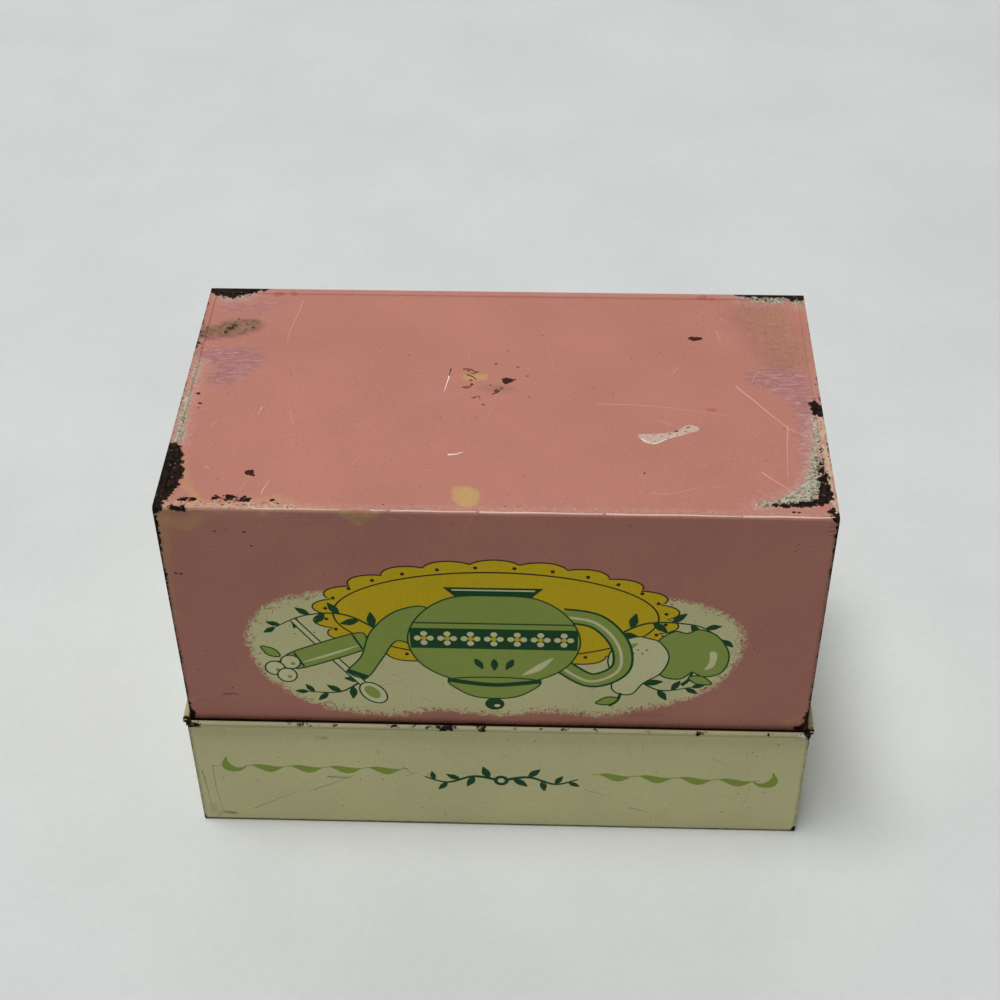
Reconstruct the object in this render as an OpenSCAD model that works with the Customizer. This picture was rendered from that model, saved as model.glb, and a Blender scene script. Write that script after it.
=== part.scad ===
// Recipe card box in printed tin, standing upside down on its closed lid.
// Z is up, the printed front faces -Y, and the lid's outer top face lies in the plane z = 0.
// The box hangs on a wire hinge along the back and opens upwards and backwards.
// All sizes are in millimetres.

/* [Overall size] */
// Outside width of the box, end to end
box_w = 133; // [110:0.5:180]
// Outside depth of the box, front to back
box_d = 75; // [60:0.5:130]
// Height of the closed box, from the lid's top to the box's underside
closed_h = 95; // [75:0.5:150]

/* [Lid] */
// Height of the lid's walls with their rolled rim
lid_h = 34; // [16:0.5:50]
// How far the box walls reach into the closed lid
neck_h = 6; // [4:0.5:9]
// Space between each end of the box and the lid
end_gap = 0.5; // [0.3:0.05:1.5]
// Space that the box keeps from the front of the lid as it swings open
swing_gap = 0.26; // [0.15:0.01:1]
// Outer radius of the lid's rolled rim
rim_r = 0.65; // [0.5:0.05:1.2]
// Angle that the rolled rim turns through
rim_sweep = 290; // [200:5:310]

/* [Tin sheet] */
// Thickness of the sheet
tin_t = 0.3; // [0.2:0.05:0.4]
// Outer radius of the sheet's bends
bend_r = 0.8; // [0.6:0.1:3]
// Width of the flanges that fasten the end panels
flange_w = 5; // [3:0.5:8]
// Height of the hem folded inside the mouth of the box
hem_h = 3; // [1.5:0.5:4]
// Space that a hem keeps from the flange beside it
hem_gap = 0.2; // [0.1:0.05:0.5]
// How far the flanges of the lid's ends stay below the mouth of the closed box
flange_clear = 1; // [0.5:0.1:3]

/* [Underside panel] */
// Width of the raised band along the front and the back of the underside
band_w = 2; // [1.6:0.1:6]
// Width of the raised band along the ends of the underside
end_band_w = 1.3; // [1.2:0.1:6]
// Depth of the panel inside the band
panel_drop = 0.35; // [0.1:0.05:1]
// Corner radius of the panel
panel_r = 1.5; // [0.5:0.1:5]
// Space between the panel's wall and the lips of the end panels
lip_gap = 0.05; // [0.02:0.01:0.2]

/* [Hinge] */
// Diameter of the hinge wire
wire_d = 1.2; // [0.8:0.1:2]
// Play all round the wire in its knuckles
wire_play = 0.05; // [0.02:0.01:0.1]
// Space between the box's knuckles and the back wall of the lid
back_gap = 0.3; // [0.2:0.05:1]
// Angle at which the back of the box comes to rest on the lid's rim
stop_angle = 110; // [100:1:120]
// Width of each of the lid's two knuckles
lid_knuckle_w = 18; // [8:0.5:22]
// Distance of each lid knuckle's middle from the middle of the box
lid_knuckle_x = 30; // [16:0.5:32]
// Space between neighbouring knuckles
knuckle_gap = 0.4; // [0.2:0.05:1]
// Distance from the flanges of the box's ends to the outermost knuckles
knuckle_margin = 1.5; // [1:0.1:4]
// How far the wire stays back from the ends of the outermost knuckles
wire_inset = 0.3; // [0.1:0.05:1]
// Length of the slope where a lid knuckle leaves the lid's wall
slope_h = 2.5; // [1.5:0.1:5]
// Angle that the sheet of a knuckle turns through
roll_sweep = 300; // [200:5:320]

/* [Hidden] */
$fn = 48;
PINK = "#c4877a";
CREAM = "#c8c39b";
STEEL = "#8f8d88";

// Worked-out places are kept to hundredths of a millimetre
function hundredths(x) = round(x * 100) / 100;

// Hinge, worked out from the wire
roll_in = wire_d / 2 + wire_play;
roll_out = roll_in + tin_t;
roll_mid = roll_in + tin_t / 2;
rim_reach = roll_out + back_gap + rim_r;
axis_z = hundredths(lid_h - rim_r - rim_reach / tan(stop_angle));

// The mouth of the box swings out a little as it passes the rim, so the lid's front stands clear of that arc.
mouth_z = lid_h - neck_h;
swing_depth = box_d + roll_in;
swing_bulge = sqrt(pow(swing_depth, 2) + pow(axis_z - mouth_z, 2)) - swing_depth;
front_gap = hundredths(swing_gap + swing_bulge);
lid_back_space = roll_in + roll_out + back_gap;

// Outer faces, with y = 0 in the middle of the lid
lid_w = box_w + 2 * (end_gap + tin_t);
lid_d = box_d + front_gap + lid_back_space + 2 * tin_t;
box_front = -lid_d / 2 + tin_t + front_gap;
box_back = box_front + box_d;
axis_y = box_back + roll_in;

// Where the row of knuckles ends, where the back wall gives way to it, and the edges of the end panels
barrel_x = box_w / 2 - flange_w - knuckle_margin;
wall_foot = axis_z + roll_out + back_gap;
lid_flange_top = mouth_z - flange_clear;
end_lip_w = end_band_w - tin_t - lip_gap;

// How far a cutting shape passes the face that it cuts
over = 0.2;

// Places a (y, z) outline and draws it out along X
module along_x(x0, x1)
    translate([x0, 0, 0])
        rotate([90, 0, 90])
            linear_extrude(x1 - x0)
                children();

// Sheet rolled round a line along X, from the angle a0, seen from +X with 0 towards +Y
module roll_along_x(x0, x1, y, z, inner_r, a0, sweep)
    translate([x0, y, z])
        rotate([90, 0, 90])
            rotate([0, 0, a0])
                rotate_extrude(angle = sweep)
                    translate([inner_r, 0])
                        square([tin_t, x1 - x0]);

// Sheet rolled round a line along Y, from the angle a0, seen from -Y with 0 towards +X
module roll_along_y(y0, y1, x, z, inner_r, a0, sweep)
    translate([x, y1, z])
        rotate([90, 0, 0])
            rotate([0, 0, a0])
                rotate_extrude(angle = sweep)
                    translate([inner_r, 0])
                        square([tin_t, y1 - y0]);

// Rectangle with the two corners at its far edge rounded
module arched(y0, y1, z0, z1, r) {
    translate([y0, z0])
        square([y1 - y0, z1 - z0 - r]);
    translate([y0 + r, z0])
        square([y1 - y0 - 2 * r, z1 - z0]);
    for (y = [y0 + r, y1 - r])
        translate([y, z1 - r])
            circle(r);
}

// Rectangle with four rounded corners
module rounded(x0, x1, y0, y1, r) {
    translate([x0 + r, y0])
        square([x1 - x0 - 2 * r, y1 - y0]);
    translate([x0, y0 + r])
        square([x1 - x0, y1 - y0 - 2 * r]);
    for (x = [x0 + r, x1 - r], y = [y0 + r, y1 - r])
        translate([x, y])
            circle(r);
}

// Front wall, underside and back wall of the box, bent from one sheet
module box_bend()
    difference() {
        arched(box_front, box_back, mouth_z, closed_h, bend_r);
        arched(box_front + tin_t, box_back - tin_t, mouth_z - 1, closed_h - tin_t, bend_r - tin_t);
        translate([box_back - tin_t - over, mouth_z - 1])
            square([tin_t + 2 * over, wall_foot - mouth_z + 1]);
    }

// Outline of the underside panel, grown by a margin
module panel_outline(grow)
    rounded(
        -box_w / 2 + end_band_w - grow, box_w / 2 - end_band_w + grow,
        box_front + band_w - grow, box_back - band_w + grow,
        panel_r + grow
    );

// The pressed panel: a floor and a short wall that joins it to the band
module pressed_panel()
    difference() {
        translate([0, 0, closed_h - panel_drop - tin_t])
            linear_extrude(panel_drop + tin_t)
                panel_outline(tin_t);
        translate([0, 0, closed_h - panel_drop])
            linear_extrude(panel_drop + 1)
                panel_outline(0);
    }

// Two-layer edge inside the front of the mouth
module mouth_hem()
    along_x(-box_w / 2 + flange_w + hem_gap, box_w / 2 - flange_w - hem_gap)
        translate([box_front + tin_t, mouth_z])
            square([tin_t, hem_h]);

// One stretch of the box's back wall that runs down to the wire and rolls round it
module box_knuckle(x0, x1) {
    along_x(x0, x1)
        translate([box_back - tin_t, axis_z])
            square([tin_t, wall_foot - axis_z]);
    roll_along_x(x0, x1, axis_y, axis_z, roll_in, 180, roll_sweep);
}

// The outer corners of the back wall, which reach into the lid beside the knuckles
module back_corner(x0, x1)
    along_x(x0, x1)
        translate([box_back - tin_t, mouth_z])
            square([tin_t, wall_foot - mouth_z]);

module box_shell() {
    inner = lid_knuckle_x - lid_knuckle_w / 2 - knuckle_gap;
    outer = lid_knuckle_x + lid_knuckle_w / 2 + knuckle_gap;
    corner = barrel_x + knuckle_gap;
    color(PINK) {
        difference() {
            along_x(-box_w / 2, box_w / 2)
                box_bend();
            translate([0, 0, closed_h - tin_t - 1])
                linear_extrude(tin_t + 2)
                    panel_outline(0);
        }
        pressed_panel();
        mouth_hem();
        box_knuckle(-inner, inner);
        box_knuckle(-barrel_x, -outer);
        box_knuckle(outer, barrel_x);
        back_corner(-box_w / 2, -corner);
        back_corner(corner, box_w / 2);
    }
}

// End panel of the box, with flanges folded in behind the shell's sheet
module box_end() {
    x_out = box_w / 2;
    y0 = box_front + tin_t;
    y1 = box_back - tin_t;
    z1 = closed_h - tin_t;
    r = bend_r - tin_t;
    color(PINK) {
        along_x(x_out - tin_t, x_out)
            arched(y0, y1, mouth_z, z1, r);
        for (y = [y0, y1 - tin_t])
            along_x(x_out - flange_w, x_out)
                translate([y, mouth_z])
                    square([tin_t, z1 - r - mouth_z]);
        along_x(x_out - end_lip_w, x_out)
            difference() {
                arched(y0, y1, z1 - 2 * r, z1, r);
                translate([y0 + tin_t, z1 - 2 * r - 1])
                    square([y1 - y0 - 2 * tin_t, 2 * r + 1 - tin_t]);
            }
        along_x(x_out - 2 * tin_t, x_out - tin_t)
            translate([y0 + tin_t + hem_gap, mouth_z])
                square([y1 - y0 - 2 * tin_t - 2 * hem_gap, hem_h]);
    }
}

module box_right_end() box_end();

module box_left_end() mirror([1, 0, 0]) box_end();

// Front wall, top and back wall of the lid, bent from one sheet; they stop where the rims and knuckles begin
module lid_bend()
    difference() {
        translate([0, lid_h - rim_r])
            mirror([0, 1])
                arched(-lid_d / 2, lid_d / 2, 0, lid_h - rim_r, bend_r);
        translate([0, lid_h])
            mirror([0, 1])
                arched(-lid_d / 2 + tin_t, lid_d / 2 - tin_t, 0, lid_h - tin_t, bend_r - tin_t);
        translate([lid_d / 2 - tin_t - over, axis_z - slope_h])
            square([tin_t + 2 * over, slope_h + rim_r]);
    }

// Rim rolled outwards from the front wall of the lid
module rim(x0, x1)
    roll_along_x(x0, x1, -lid_d / 2 + tin_t - rim_r, lid_h - rim_r, rim_r - tin_t, 0, rim_sweep);

// One stretch of the lid's back wall that ends in the outward rim
module back_rim(x0, x1) {
    along_x(x0, x1)
        translate([lid_d / 2 - tin_t, axis_z - slope_h])
            square([tin_t, lid_h - rim_r - axis_z + slope_h]);
    mirror([0, 1, 0])
        rim(x0, x1);
}

// One stretch of the lid's back wall that slopes in to the wire and rolls round it.
// It is drawn with the slope upright beside the roll, then tilted about the wire until it meets the wall.
module lid_knuckle(x0, x1) {
    from_y = lid_d / 2 - tin_t / 2 - axis_y;
    slope_l = sqrt(pow(from_y, 2) + pow(slope_h, 2) - pow(roll_mid, 2));
    tilt = atan2(slope_l, roll_mid) - atan2(slope_h, from_y);
    translate([0, axis_y, axis_z])
        rotate([tilt, 0, 0]) {
            along_x(x0, x1) {
                translate([roll_in, -slope_l])
                    square([tin_t, slope_l]);
                translate([roll_mid, -slope_l])
                    circle(tin_t / 2);
            }
            roll_along_x(x0, x1, 0, 0, roll_in, 0, roll_sweep);
        }
}

module lid_shell() {
    inner = lid_knuckle_x - lid_knuckle_w / 2;
    outer = lid_knuckle_x + lid_knuckle_w / 2;
    edge = lid_w / 2;
    color(CREAM) {
        along_x(-edge, edge)
            lid_bend();
        rim(-edge, edge);
        back_rim(-edge, -outer - knuckle_gap);
        back_rim(-inner + knuckle_gap, inner - knuckle_gap);
        back_rim(outer + knuckle_gap, edge);
        lid_knuckle(-outer, -inner);
        lid_knuckle(inner, outer);
    }
}

// End panel of the lid, with flanges that stop below the mouth of the box
module lid_end() {
    x_out = lid_w / 2;
    y0 = -lid_d / 2 + tin_t;
    y1 = lid_d / 2 - tin_t;
    r = bend_r - tin_t;
    color(CREAM) {
        along_x(x_out - tin_t, x_out)
            translate([0, lid_h - rim_r])
                mirror([0, 1])
                    arched(y0, y1, 0, lid_h - rim_r - tin_t, r);
        along_x(x_out - flange_w, x_out)
            difference() {
                translate([0, lid_flange_top])
                    mirror([0, 1])
                        arched(y0, y1, 0, lid_flange_top - tin_t, r);
                translate([y0 + tin_t, 2 * tin_t])
                    square([y1 - y0 - 2 * tin_t, lid_h]);
            }
        mirror([1, 0, 0])
            roll_along_y(y0, y1, -x_out + tin_t - rim_r, lid_h - rim_r, rim_r - tin_t, 0, rim_sweep);
    }
}

module lid_right_end() lid_end();

module lid_left_end() mirror([1, 0, 0]) lid_end();

module hinge_wire()
    color(STEEL)
        translate([-barrel_x + wire_inset, axis_y, axis_z])
            rotate([0, 90, 0])
                cylinder(d = wire_d, h = 2 * (barrel_x - wire_inset));

lid_shell();
lid_left_end();
lid_right_end();
box_shell();
box_left_end();
box_right_end();
hinge_wire();
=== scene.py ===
"""Looks of the recipe card box.

Each sheet of tin is drawn as a flat blank, cut and printed flat, and then folded, so that its print, its wear
and its thickness follow it round every bend, rim and knuckle. Drawing is in millimetres, in the frame of the
part, and turns into metres when a mesh is made.
"""

import logging
import math
import random
from collections.abc import Callable, Iterable, Sequence
from dataclasses import dataclass, field
from enum import Enum

import bpy
import numpy as np
from bpy.types import Material, Mesh, NodeTree
from bpy.types import NodeSocket as Socket
from mathutils import Matrix, Vector
from mathutils.geometry import delaunay_2d_cdt


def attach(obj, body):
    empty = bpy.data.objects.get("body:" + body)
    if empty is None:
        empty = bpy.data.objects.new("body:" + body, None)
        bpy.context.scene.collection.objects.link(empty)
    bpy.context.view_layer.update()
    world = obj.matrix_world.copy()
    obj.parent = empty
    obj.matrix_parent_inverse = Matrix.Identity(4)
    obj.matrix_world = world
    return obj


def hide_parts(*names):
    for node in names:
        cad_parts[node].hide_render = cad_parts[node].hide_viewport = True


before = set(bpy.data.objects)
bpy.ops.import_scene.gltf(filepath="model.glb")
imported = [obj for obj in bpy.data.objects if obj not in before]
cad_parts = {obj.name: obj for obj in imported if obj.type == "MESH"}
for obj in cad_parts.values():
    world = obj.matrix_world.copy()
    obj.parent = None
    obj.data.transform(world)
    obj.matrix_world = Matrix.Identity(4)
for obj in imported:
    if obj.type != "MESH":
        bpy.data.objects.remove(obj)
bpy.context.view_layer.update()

LOG = logging.getLogger("recipe_card_box")

MM = 0.001
TIN = 0.3
BEND = 0.8
TIGHT = 0.4
QUARTER = TIGHT * math.pi / 2
HEM = 0.32
CORNER_CUT = 0.5
KNUCKLE_TURN = 300
RIM_TURN = 290
EMPTY = -6.0
FAR = 99.0
EDGE_CLEAR = 0.05
SPOT_PITCH = 0.28
WELD = 1e-4
NUDGE = 0.01

Point = tuple[float, float]
Place = tuple[float, float, float]
Colour = tuple[float, float, float]
Points = Sequence[Point]
Array = np.ndarray
Fold = Callable[[Array, Array], Array]
Dent = Callable[[Array], Array]
At = Callable[[float, float], Point]


class Ink(Enum):
    """Printing inks and the marks that lie over them, among them painted shade and painted highlights, as linear
    colours.
    """

    MUSTARD = (0.71, 0.50, 0.003)
    BROWN = (0.045, 0.022, 0.006)
    DARK_GREEN = (0.004, 0.068, 0.014)
    MID_GREEN = (0.31, 0.40, 0.08)
    RIBBON_GREEN = (0.28, 0.38, 0.055)
    PALE = (0.74, 0.72, 0.40)
    SCRATCH_PINK = (0.64, 0.33, 0.26)
    SCRATCH_PALE = (0.74, 0.47, 0.38)
    WHITE_SCRATCH_AND_HIGHLIGHT = (0.92, 0.76, 0.68)
    SCRAPED = (0.60, 0.44, 0.37)
    SCRAPED_DARK = (0.43, 0.27, 0.21)
    WORN_BAND = (0.58, 0.41, 0.28)
    SPOT = (0.042, 0.010, 0.004)
    BROWN_SPOT_AND_SHADE = (0.13, 0.042, 0.016)
    REDDENED = (0.46, 0.145, 0.12)
    WORN_BEND = (0.84, 0.60, 0.50)
    RIM = (0.43, 0.40, 0.23)
    DARK_SCRATCH_AND_SHADE = (0.035, 0.018, 0.012)
    GREY_SCRATCH_AND_SHADE = (0.30, 0.27, 0.14)
    HAIR_PINK = (0.57, 0.255, 0.195)
    HAIR_CREAM = (0.56, 0.53, 0.25)


class Wear(Enum):
    """Kinds of wear, and the painted shade that rides with the grime, by the name of the attribute that holds them.
    """

    RUST = "rust_mm"
    PRIMER = "primer_mm"
    TAN = "tan"
    VIOLET = "violet"
    GRIME = "grime"
    EDGE = "edge"


class Side(Enum):
    """Which end of the box, as the sign of its X."""

    LEFT = -1
    RIGHT = 1


HARD_WEAR = (Wear.RUST, Wear.PRIMER)
Print = tuple[list[Point], Ink]

DARK, MID, PALE = Ink.DARK_GREEN, Ink.MID_GREEN, Ink.PALE
CREAM: Colour = (0.70, 0.66, 0.345)


# Flat drawing


def closed_curve(points: Points, steps: int = 6) -> list[Point]:
    """Draw a smooth closed curve through points, with each span cut into steps."""
    return through([points[-1], *points, *points[:2]], steps)


def open_curve(points: Points, steps: int = 6) -> list[Point]:
    """Draw a smooth open curve through points, with each span cut into steps."""
    return [*through([points[0], *points, points[-1]], steps), tuple(map(float, points[-1]))]


def through(padded: Points, steps: int) -> list[Point]:
    """Draw the spans of a smooth curve.

    Args:
        padded: The points that it passes through, with one more at each end to steer by.
        steps: How many pieces each span is cut into.

    Returns:
        The curve's points, without the last.
    """
    p = np.array(padded, float)
    made = []
    for i in range(len(p) - 3):
        made += [tuple(spline(p[i : i + 4], s / steps)) for s in range(steps)]
    return made


def spline(p: Sequence[Array], t: float) -> Array:
    """Give a point between p[1] and p[2] of a Catmull-Rom curve."""
    return 0.5 * (
        2 * p[1]
        + (p[2] - p[0]) * t
        + (2 * p[0] - 5 * p[1] + 4 * p[2] - p[3]) * t**2
        + (3 * p[1] - p[0] - 3 * p[2] + p[3]) * t**3
    )


def area(points: Points) -> float:
    """Give a polygon's signed area, positive if it runs anticlockwise."""
    p = np.array(points, float)
    q = np.roll(p, -1, axis=0)
    return float((p[:, 0] * q[:, 1] - q[:, 0] * p[:, 1]).sum() / 2)


def grow(points: Points, by: float) -> list[Point]:
    """Move a polygon's outline outwards.

    Args:
        points: The polygon.
        by: How far.

    Returns:
        The larger polygon.
    """
    p = np.array(points, float)
    along = np.roll(p, -1, axis=0) - np.roll(p, 1, axis=0)
    out = np.stack([along[:, 1], -along[:, 0]], 1) * math.copysign(1, area(points))
    out /= np.maximum(np.linalg.norm(out, axis=1, keepdims=True), 1e-9)
    return [tuple(q) for q in p + out * by]


def stroke(line: Points, width: float, end_width: float | None = None) -> list[Point]:
    """Turn a line into a polygon of a given width.

    Args:
        line: The line's points.
        width: Its width at the start.
        end_width: Its width at the end, if that differs.

    Returns:
        The polygon.
    """
    p = np.array(line, float)
    along = np.gradient(p, axis=0)
    side = np.stack([-along[:, 1], along[:, 0]], 1)
    side /= np.maximum(np.linalg.norm(side, axis=1, keepdims=True), 1e-9)
    half = np.linspace(width, width if end_width is None else end_width, len(p))[:, None] / 2
    return [tuple(q) for q in np.concatenate([p + side * half, (p - side * half)[::-1]])]


def disc(centre: Point, radius: float, flat: float = 1.0, turn: float = 0.0, steps: int = 20) -> list[Point]:
    """Draw an ellipse: flat is its second radius as a share of the first, and turn its first axis's angle."""
    ring = [(radius * math.cos(a), radius * flat * math.sin(a)) for a in np.arange(steps) * math.tau / steps]
    return moved(ring, centre, turn)


def moved(points: Iterable[Point], to: Point = (0, 0), turn: float = 0.0, size: float = 1.0) -> list[Point]:
    """Resize points by a factor, turn them by degrees and shift their origin to a place."""
    c, s = math.cos(math.radians(turn)) * size, math.sin(math.radians(turn)) * size
    return [(to[0] + c * x - s * y, to[1] + s * x + c * y) for x, y in points]


def inside(points: Array, polygon: Points) -> Array:
    """Tell which points lie inside a polygon.

    Args:
        points: The points, one a row.
        polygon: The polygon.

    Returns:
        True for each point inside.
    """
    found = np.zeros(len(points), bool)
    x, y = points[:, 0], points[:, 1]
    for (x0, y0), (x1, y1) in zip(polygon, [*polygon[1:], polygon[0]]):
        if y0 == y1:
            continue
        crosses = (y0 > y) != (y1 > y)
        found ^= crosses & (x < (x1 - x0) * (y - y0) / (y1 - y0) + x0)
    return found


def distance_inside(points: Array, polygon: Points) -> Array:
    """Measure points against a polygon's outline.

    Args:
        points: The points, one a row.
        polygon: The polygon.

    Returns:
        Each point's distance from the outline, positive inside.
    """
    p = np.array(polygon, float)
    q = np.roll(p, -1, axis=0)
    nearest = np.full(len(points), 1e9)
    for a, b in zip(p, q):
        nearest = np.minimum(nearest, segment_distance(points, a, b)[0])
    return np.where(inside(points, [tuple(r) for r in p]), nearest, -nearest)


def segment_distance(points: Array, a: Array, b: Array) -> tuple[Array, Array]:
    """Measure points against a straight segment.

    Args:
        points: The points, one a row.
        a: The segment's start.
        b: The segment's end.

    Returns:
        Each point's distance from the segment, and how far along it the nearest place lies, from 0 to 1.
    """
    along = b - a
    t = np.clip((points - a) @ along / max(float(along @ along), 1e-12), 0, 1)
    return np.linalg.norm(points - a - t[:, None] * along, axis=1), t


def rounded_inside(x: Array, y: Array, half: Point, radius: float) -> Array:
    """Measure places against a rounded rectangle about the origin.

    Args:
        x: Their places along its first side.
        y: Their places along its second side.
        half: Half its length and half its width.
        radius: The radius of its corners.

    Returns:
        Each place's distance from its outline, positive inside.
    """
    qx, qy = np.abs(x) - half[0] + radius, np.abs(y) - half[1] + radius
    outside = np.hypot(np.maximum(qx, 0), np.maximum(qy, 0))
    return radius - outside - np.minimum(np.maximum(qx, qy), 0)


def rounded_loop(middle: Point, half: Point, radius: float, pitch: float) -> list[Point]:
    """Draw a rounded rectangle.

    Args:
        middle: Its middle.
        half: Half its length and half its width.
        radius: The radius of its corners.
        pitch: The rough distance between points.

    Returns:
        Its points in order.
    """
    made: list[Point] = []
    for k, (sx, sy) in enumerate([(1, 1), (-1, 1), (-1, -1), (1, -1)]):
        centre = (middle[0] + sx * (half[0] - radius), middle[1] + sy * (half[1] - radius))
        made += [moved([(radius, 0)], centre, 90 * k + a)[0] for a in (0, 22.5, 45, 67.5, 90)]
    loop: list[Point] = []
    for p, q in zip(made, [*made[1:], made[0]]):
        cuts = max(1, round(math.dist(p, q) / pitch))
        loop += [(p[0] + (q[0] - p[0]) * i / cuts, p[1] + (q[1] - p[1]) * i / cuts) for i in range(cuts)]
    return loop


def heading(a: Point, b: Point) -> float:
    """Give the direction from one point to another, in degrees."""
    return math.degrees(math.atan2(b[1] - a[1], b[0] - a[0]))


def rectangle(low: Point, high: Point) -> list[Point]:
    """Draw a rectangle between two opposite corners."""
    return [low, (high[0], low[1]), high, (low[0], high[1])]


def sliver(x: float, low: float, high: float) -> list[Point]:
    """Draw a loop so thin that it is only a line for points to follow."""
    return [(x, low), (x + 0.001, low), (x, high)]


def evenly(start: float, length: float, cuts: int) -> list[float]:
    """Cut a length into equal steps and give both ends and the places between."""
    return [start + length * i / cuts for i in range(cuts + 1)]


def mirrored(half: Points) -> list[Point]:
    """Add the left half of an outline to its right half, which starts and ends on the axis."""
    return [*half, *((-x, y) for x, y in half[-2:0:-1])]


def across(outline: Points, middle: float = 0.0) -> list[Point]:
    """Add the other side of a cut outline to one side of it."""
    return [*outline, *((2 * middle - x, v) for x, v in outline[::-1])]


def smooth(t: Array) -> Array:
    """Ease from 0 to 1."""
    t = np.clip(t, 0, 1)
    return t * t * (3 - 2 * t)


# Sheets


@dataclass
class FoldPath:
    """A sheet's outer face seen edge on, as straight runs and bends in the (y, z) plane.

    Attributes:
        start: Where it starts.
        heading: The direction it starts in, in degrees from +Y towards +Z.
        outer: 1 if the outer face is on the left of the path, -1 if on the right.
        v0: The distance along the blank at the start.
        runs: Length and turn of each run so far, the turn in radians.
    """

    start: Point
    heading: float
    outer: int
    v0: float = 0.0
    runs: list[tuple[float, float]] = field(default_factory=list)

    def line(self, length: float) -> "FoldPath":
        """Go straight on."""
        self.runs.append((length, 0.0))
        return self

    def bend(self, radius: float, degrees: float) -> "FoldPath":
        """Turn round a radius, to the left if degrees is positive."""
        turn = math.radians(degrees)
        self.runs.append((radius * abs(turn), turn))
        return self

    def ends(self) -> list[float]:
        """Give the distance along the blank at the start and after each run."""
        return list(self.v0 + np.concatenate([[0], np.cumsum([r[0] for r in self.runs])]))

    def rows(self, step: float = 14.0) -> list[float]:
        """Give the distances along the blank at which the bends need a line of points."""
        found = []
        for start, (length, turn) in zip(self.ends(), self.runs):
            cuts = max(1, math.ceil(abs(math.degrees(turn)) / step))
            found += evenly(start, length, cuts)
        return found

    def at(self, v: Array, inward: Array) -> Array:
        """Place points of the blank.

        Args:
            v: Distances along the blank.
            inward: How far below the outer face each point lies.

        Returns:
            Their (y, z) places.
        """
        made = np.zeros((len(v), 2))
        place, heading = np.array(self.start, float), math.radians(self.heading)
        ends = self.ends()
        for i, (length, turn) in enumerate(self.runs):
            first, last = i == 0, i == len(self.runs) - 1
            chosen = ((v >= ends[i]) | first) & ((v < ends[i + 1]) | last)
            s = v[chosen] - ends[i]
            way, here = self._along(place, heading, s, length, turn)
            normal = np.stack([-np.sin(way), np.cos(way)], 1) * self.outer
            made[chosen] = here - normal * inward[chosen][:, None]
            way_end, place_end = self._along(place, heading, np.array([length]), length, turn)
            heading, place = float(way_end[0]), place_end[0]
        return made

    @staticmethod
    def _along(
        place: Array, heading: float, s: Array, length: float, turn: float
    ) -> tuple[Array, Array]:
        """Give headings and places at distances s into one run."""
        if not turn:
            way = np.full(len(s), heading)
            return way, place + s[:, None] * np.array([math.cos(heading), math.sin(heading)])
        radius = length / turn
        way = heading + s / radius
        step = np.stack([np.sin(way) - math.sin(heading), math.cos(heading) - np.cos(way)], 1)
        return way, place + radius * step


@dataclass
class Zone:
    """A stretch of a shell's width with its own way to fold.

    Attributes:
        low: Where it starts along X.
        high: Where it ends.
        path: How its sheet runs.
    """

    low: float
    high: float
    path: FoldPath


def three_zones(half: float, middle: FoldPath, sides: FoldPath) -> list[Zone]:
    """Split a shell's width into a middle zone and the zones on both sides of it."""
    return [Zone(-half, half, middle), Zone(-FAR, -half, sides), Zone(half, FAR, sides)]


@dataclass
class ShellFold:
    """Folds the blank of a shell: x stays, and v follows a path that depends on the zone.

    Attributes:
        split: The distance along the blank at which the back zones take over.
        front: The zones at the start of the blank.
        back: The zones at its end.
        dent: How far the sheet lies below its nominal face at points of the blank.
    """

    split: float
    front: list[Zone]
    back: list[Zone]
    dent: Dent

    def __call__(self, uv: Array, inward: Array) -> Array:
        """Place points of the blank, a given distance below its outer face."""
        made = np.zeros((len(uv), 3))
        made[:, 0] = uv[:, 0]
        depth = inward + self.dent(uv)
        for zones, side in ((self.front, uv[:, 1] < self.split), (self.back, uv[:, 1] >= self.split)):
            gaps = np.stack([np.maximum(z.low - uv[:, 0], uv[:, 0] - z.high) for z in zones])
            own = gaps.argmin(0)
            for i, zone in enumerate(zones):
                chosen = side & (own == i)
                made[chosen, 1:] = zone.path.at(uv[chosen, 1], depth[chosen])
        return made


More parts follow.
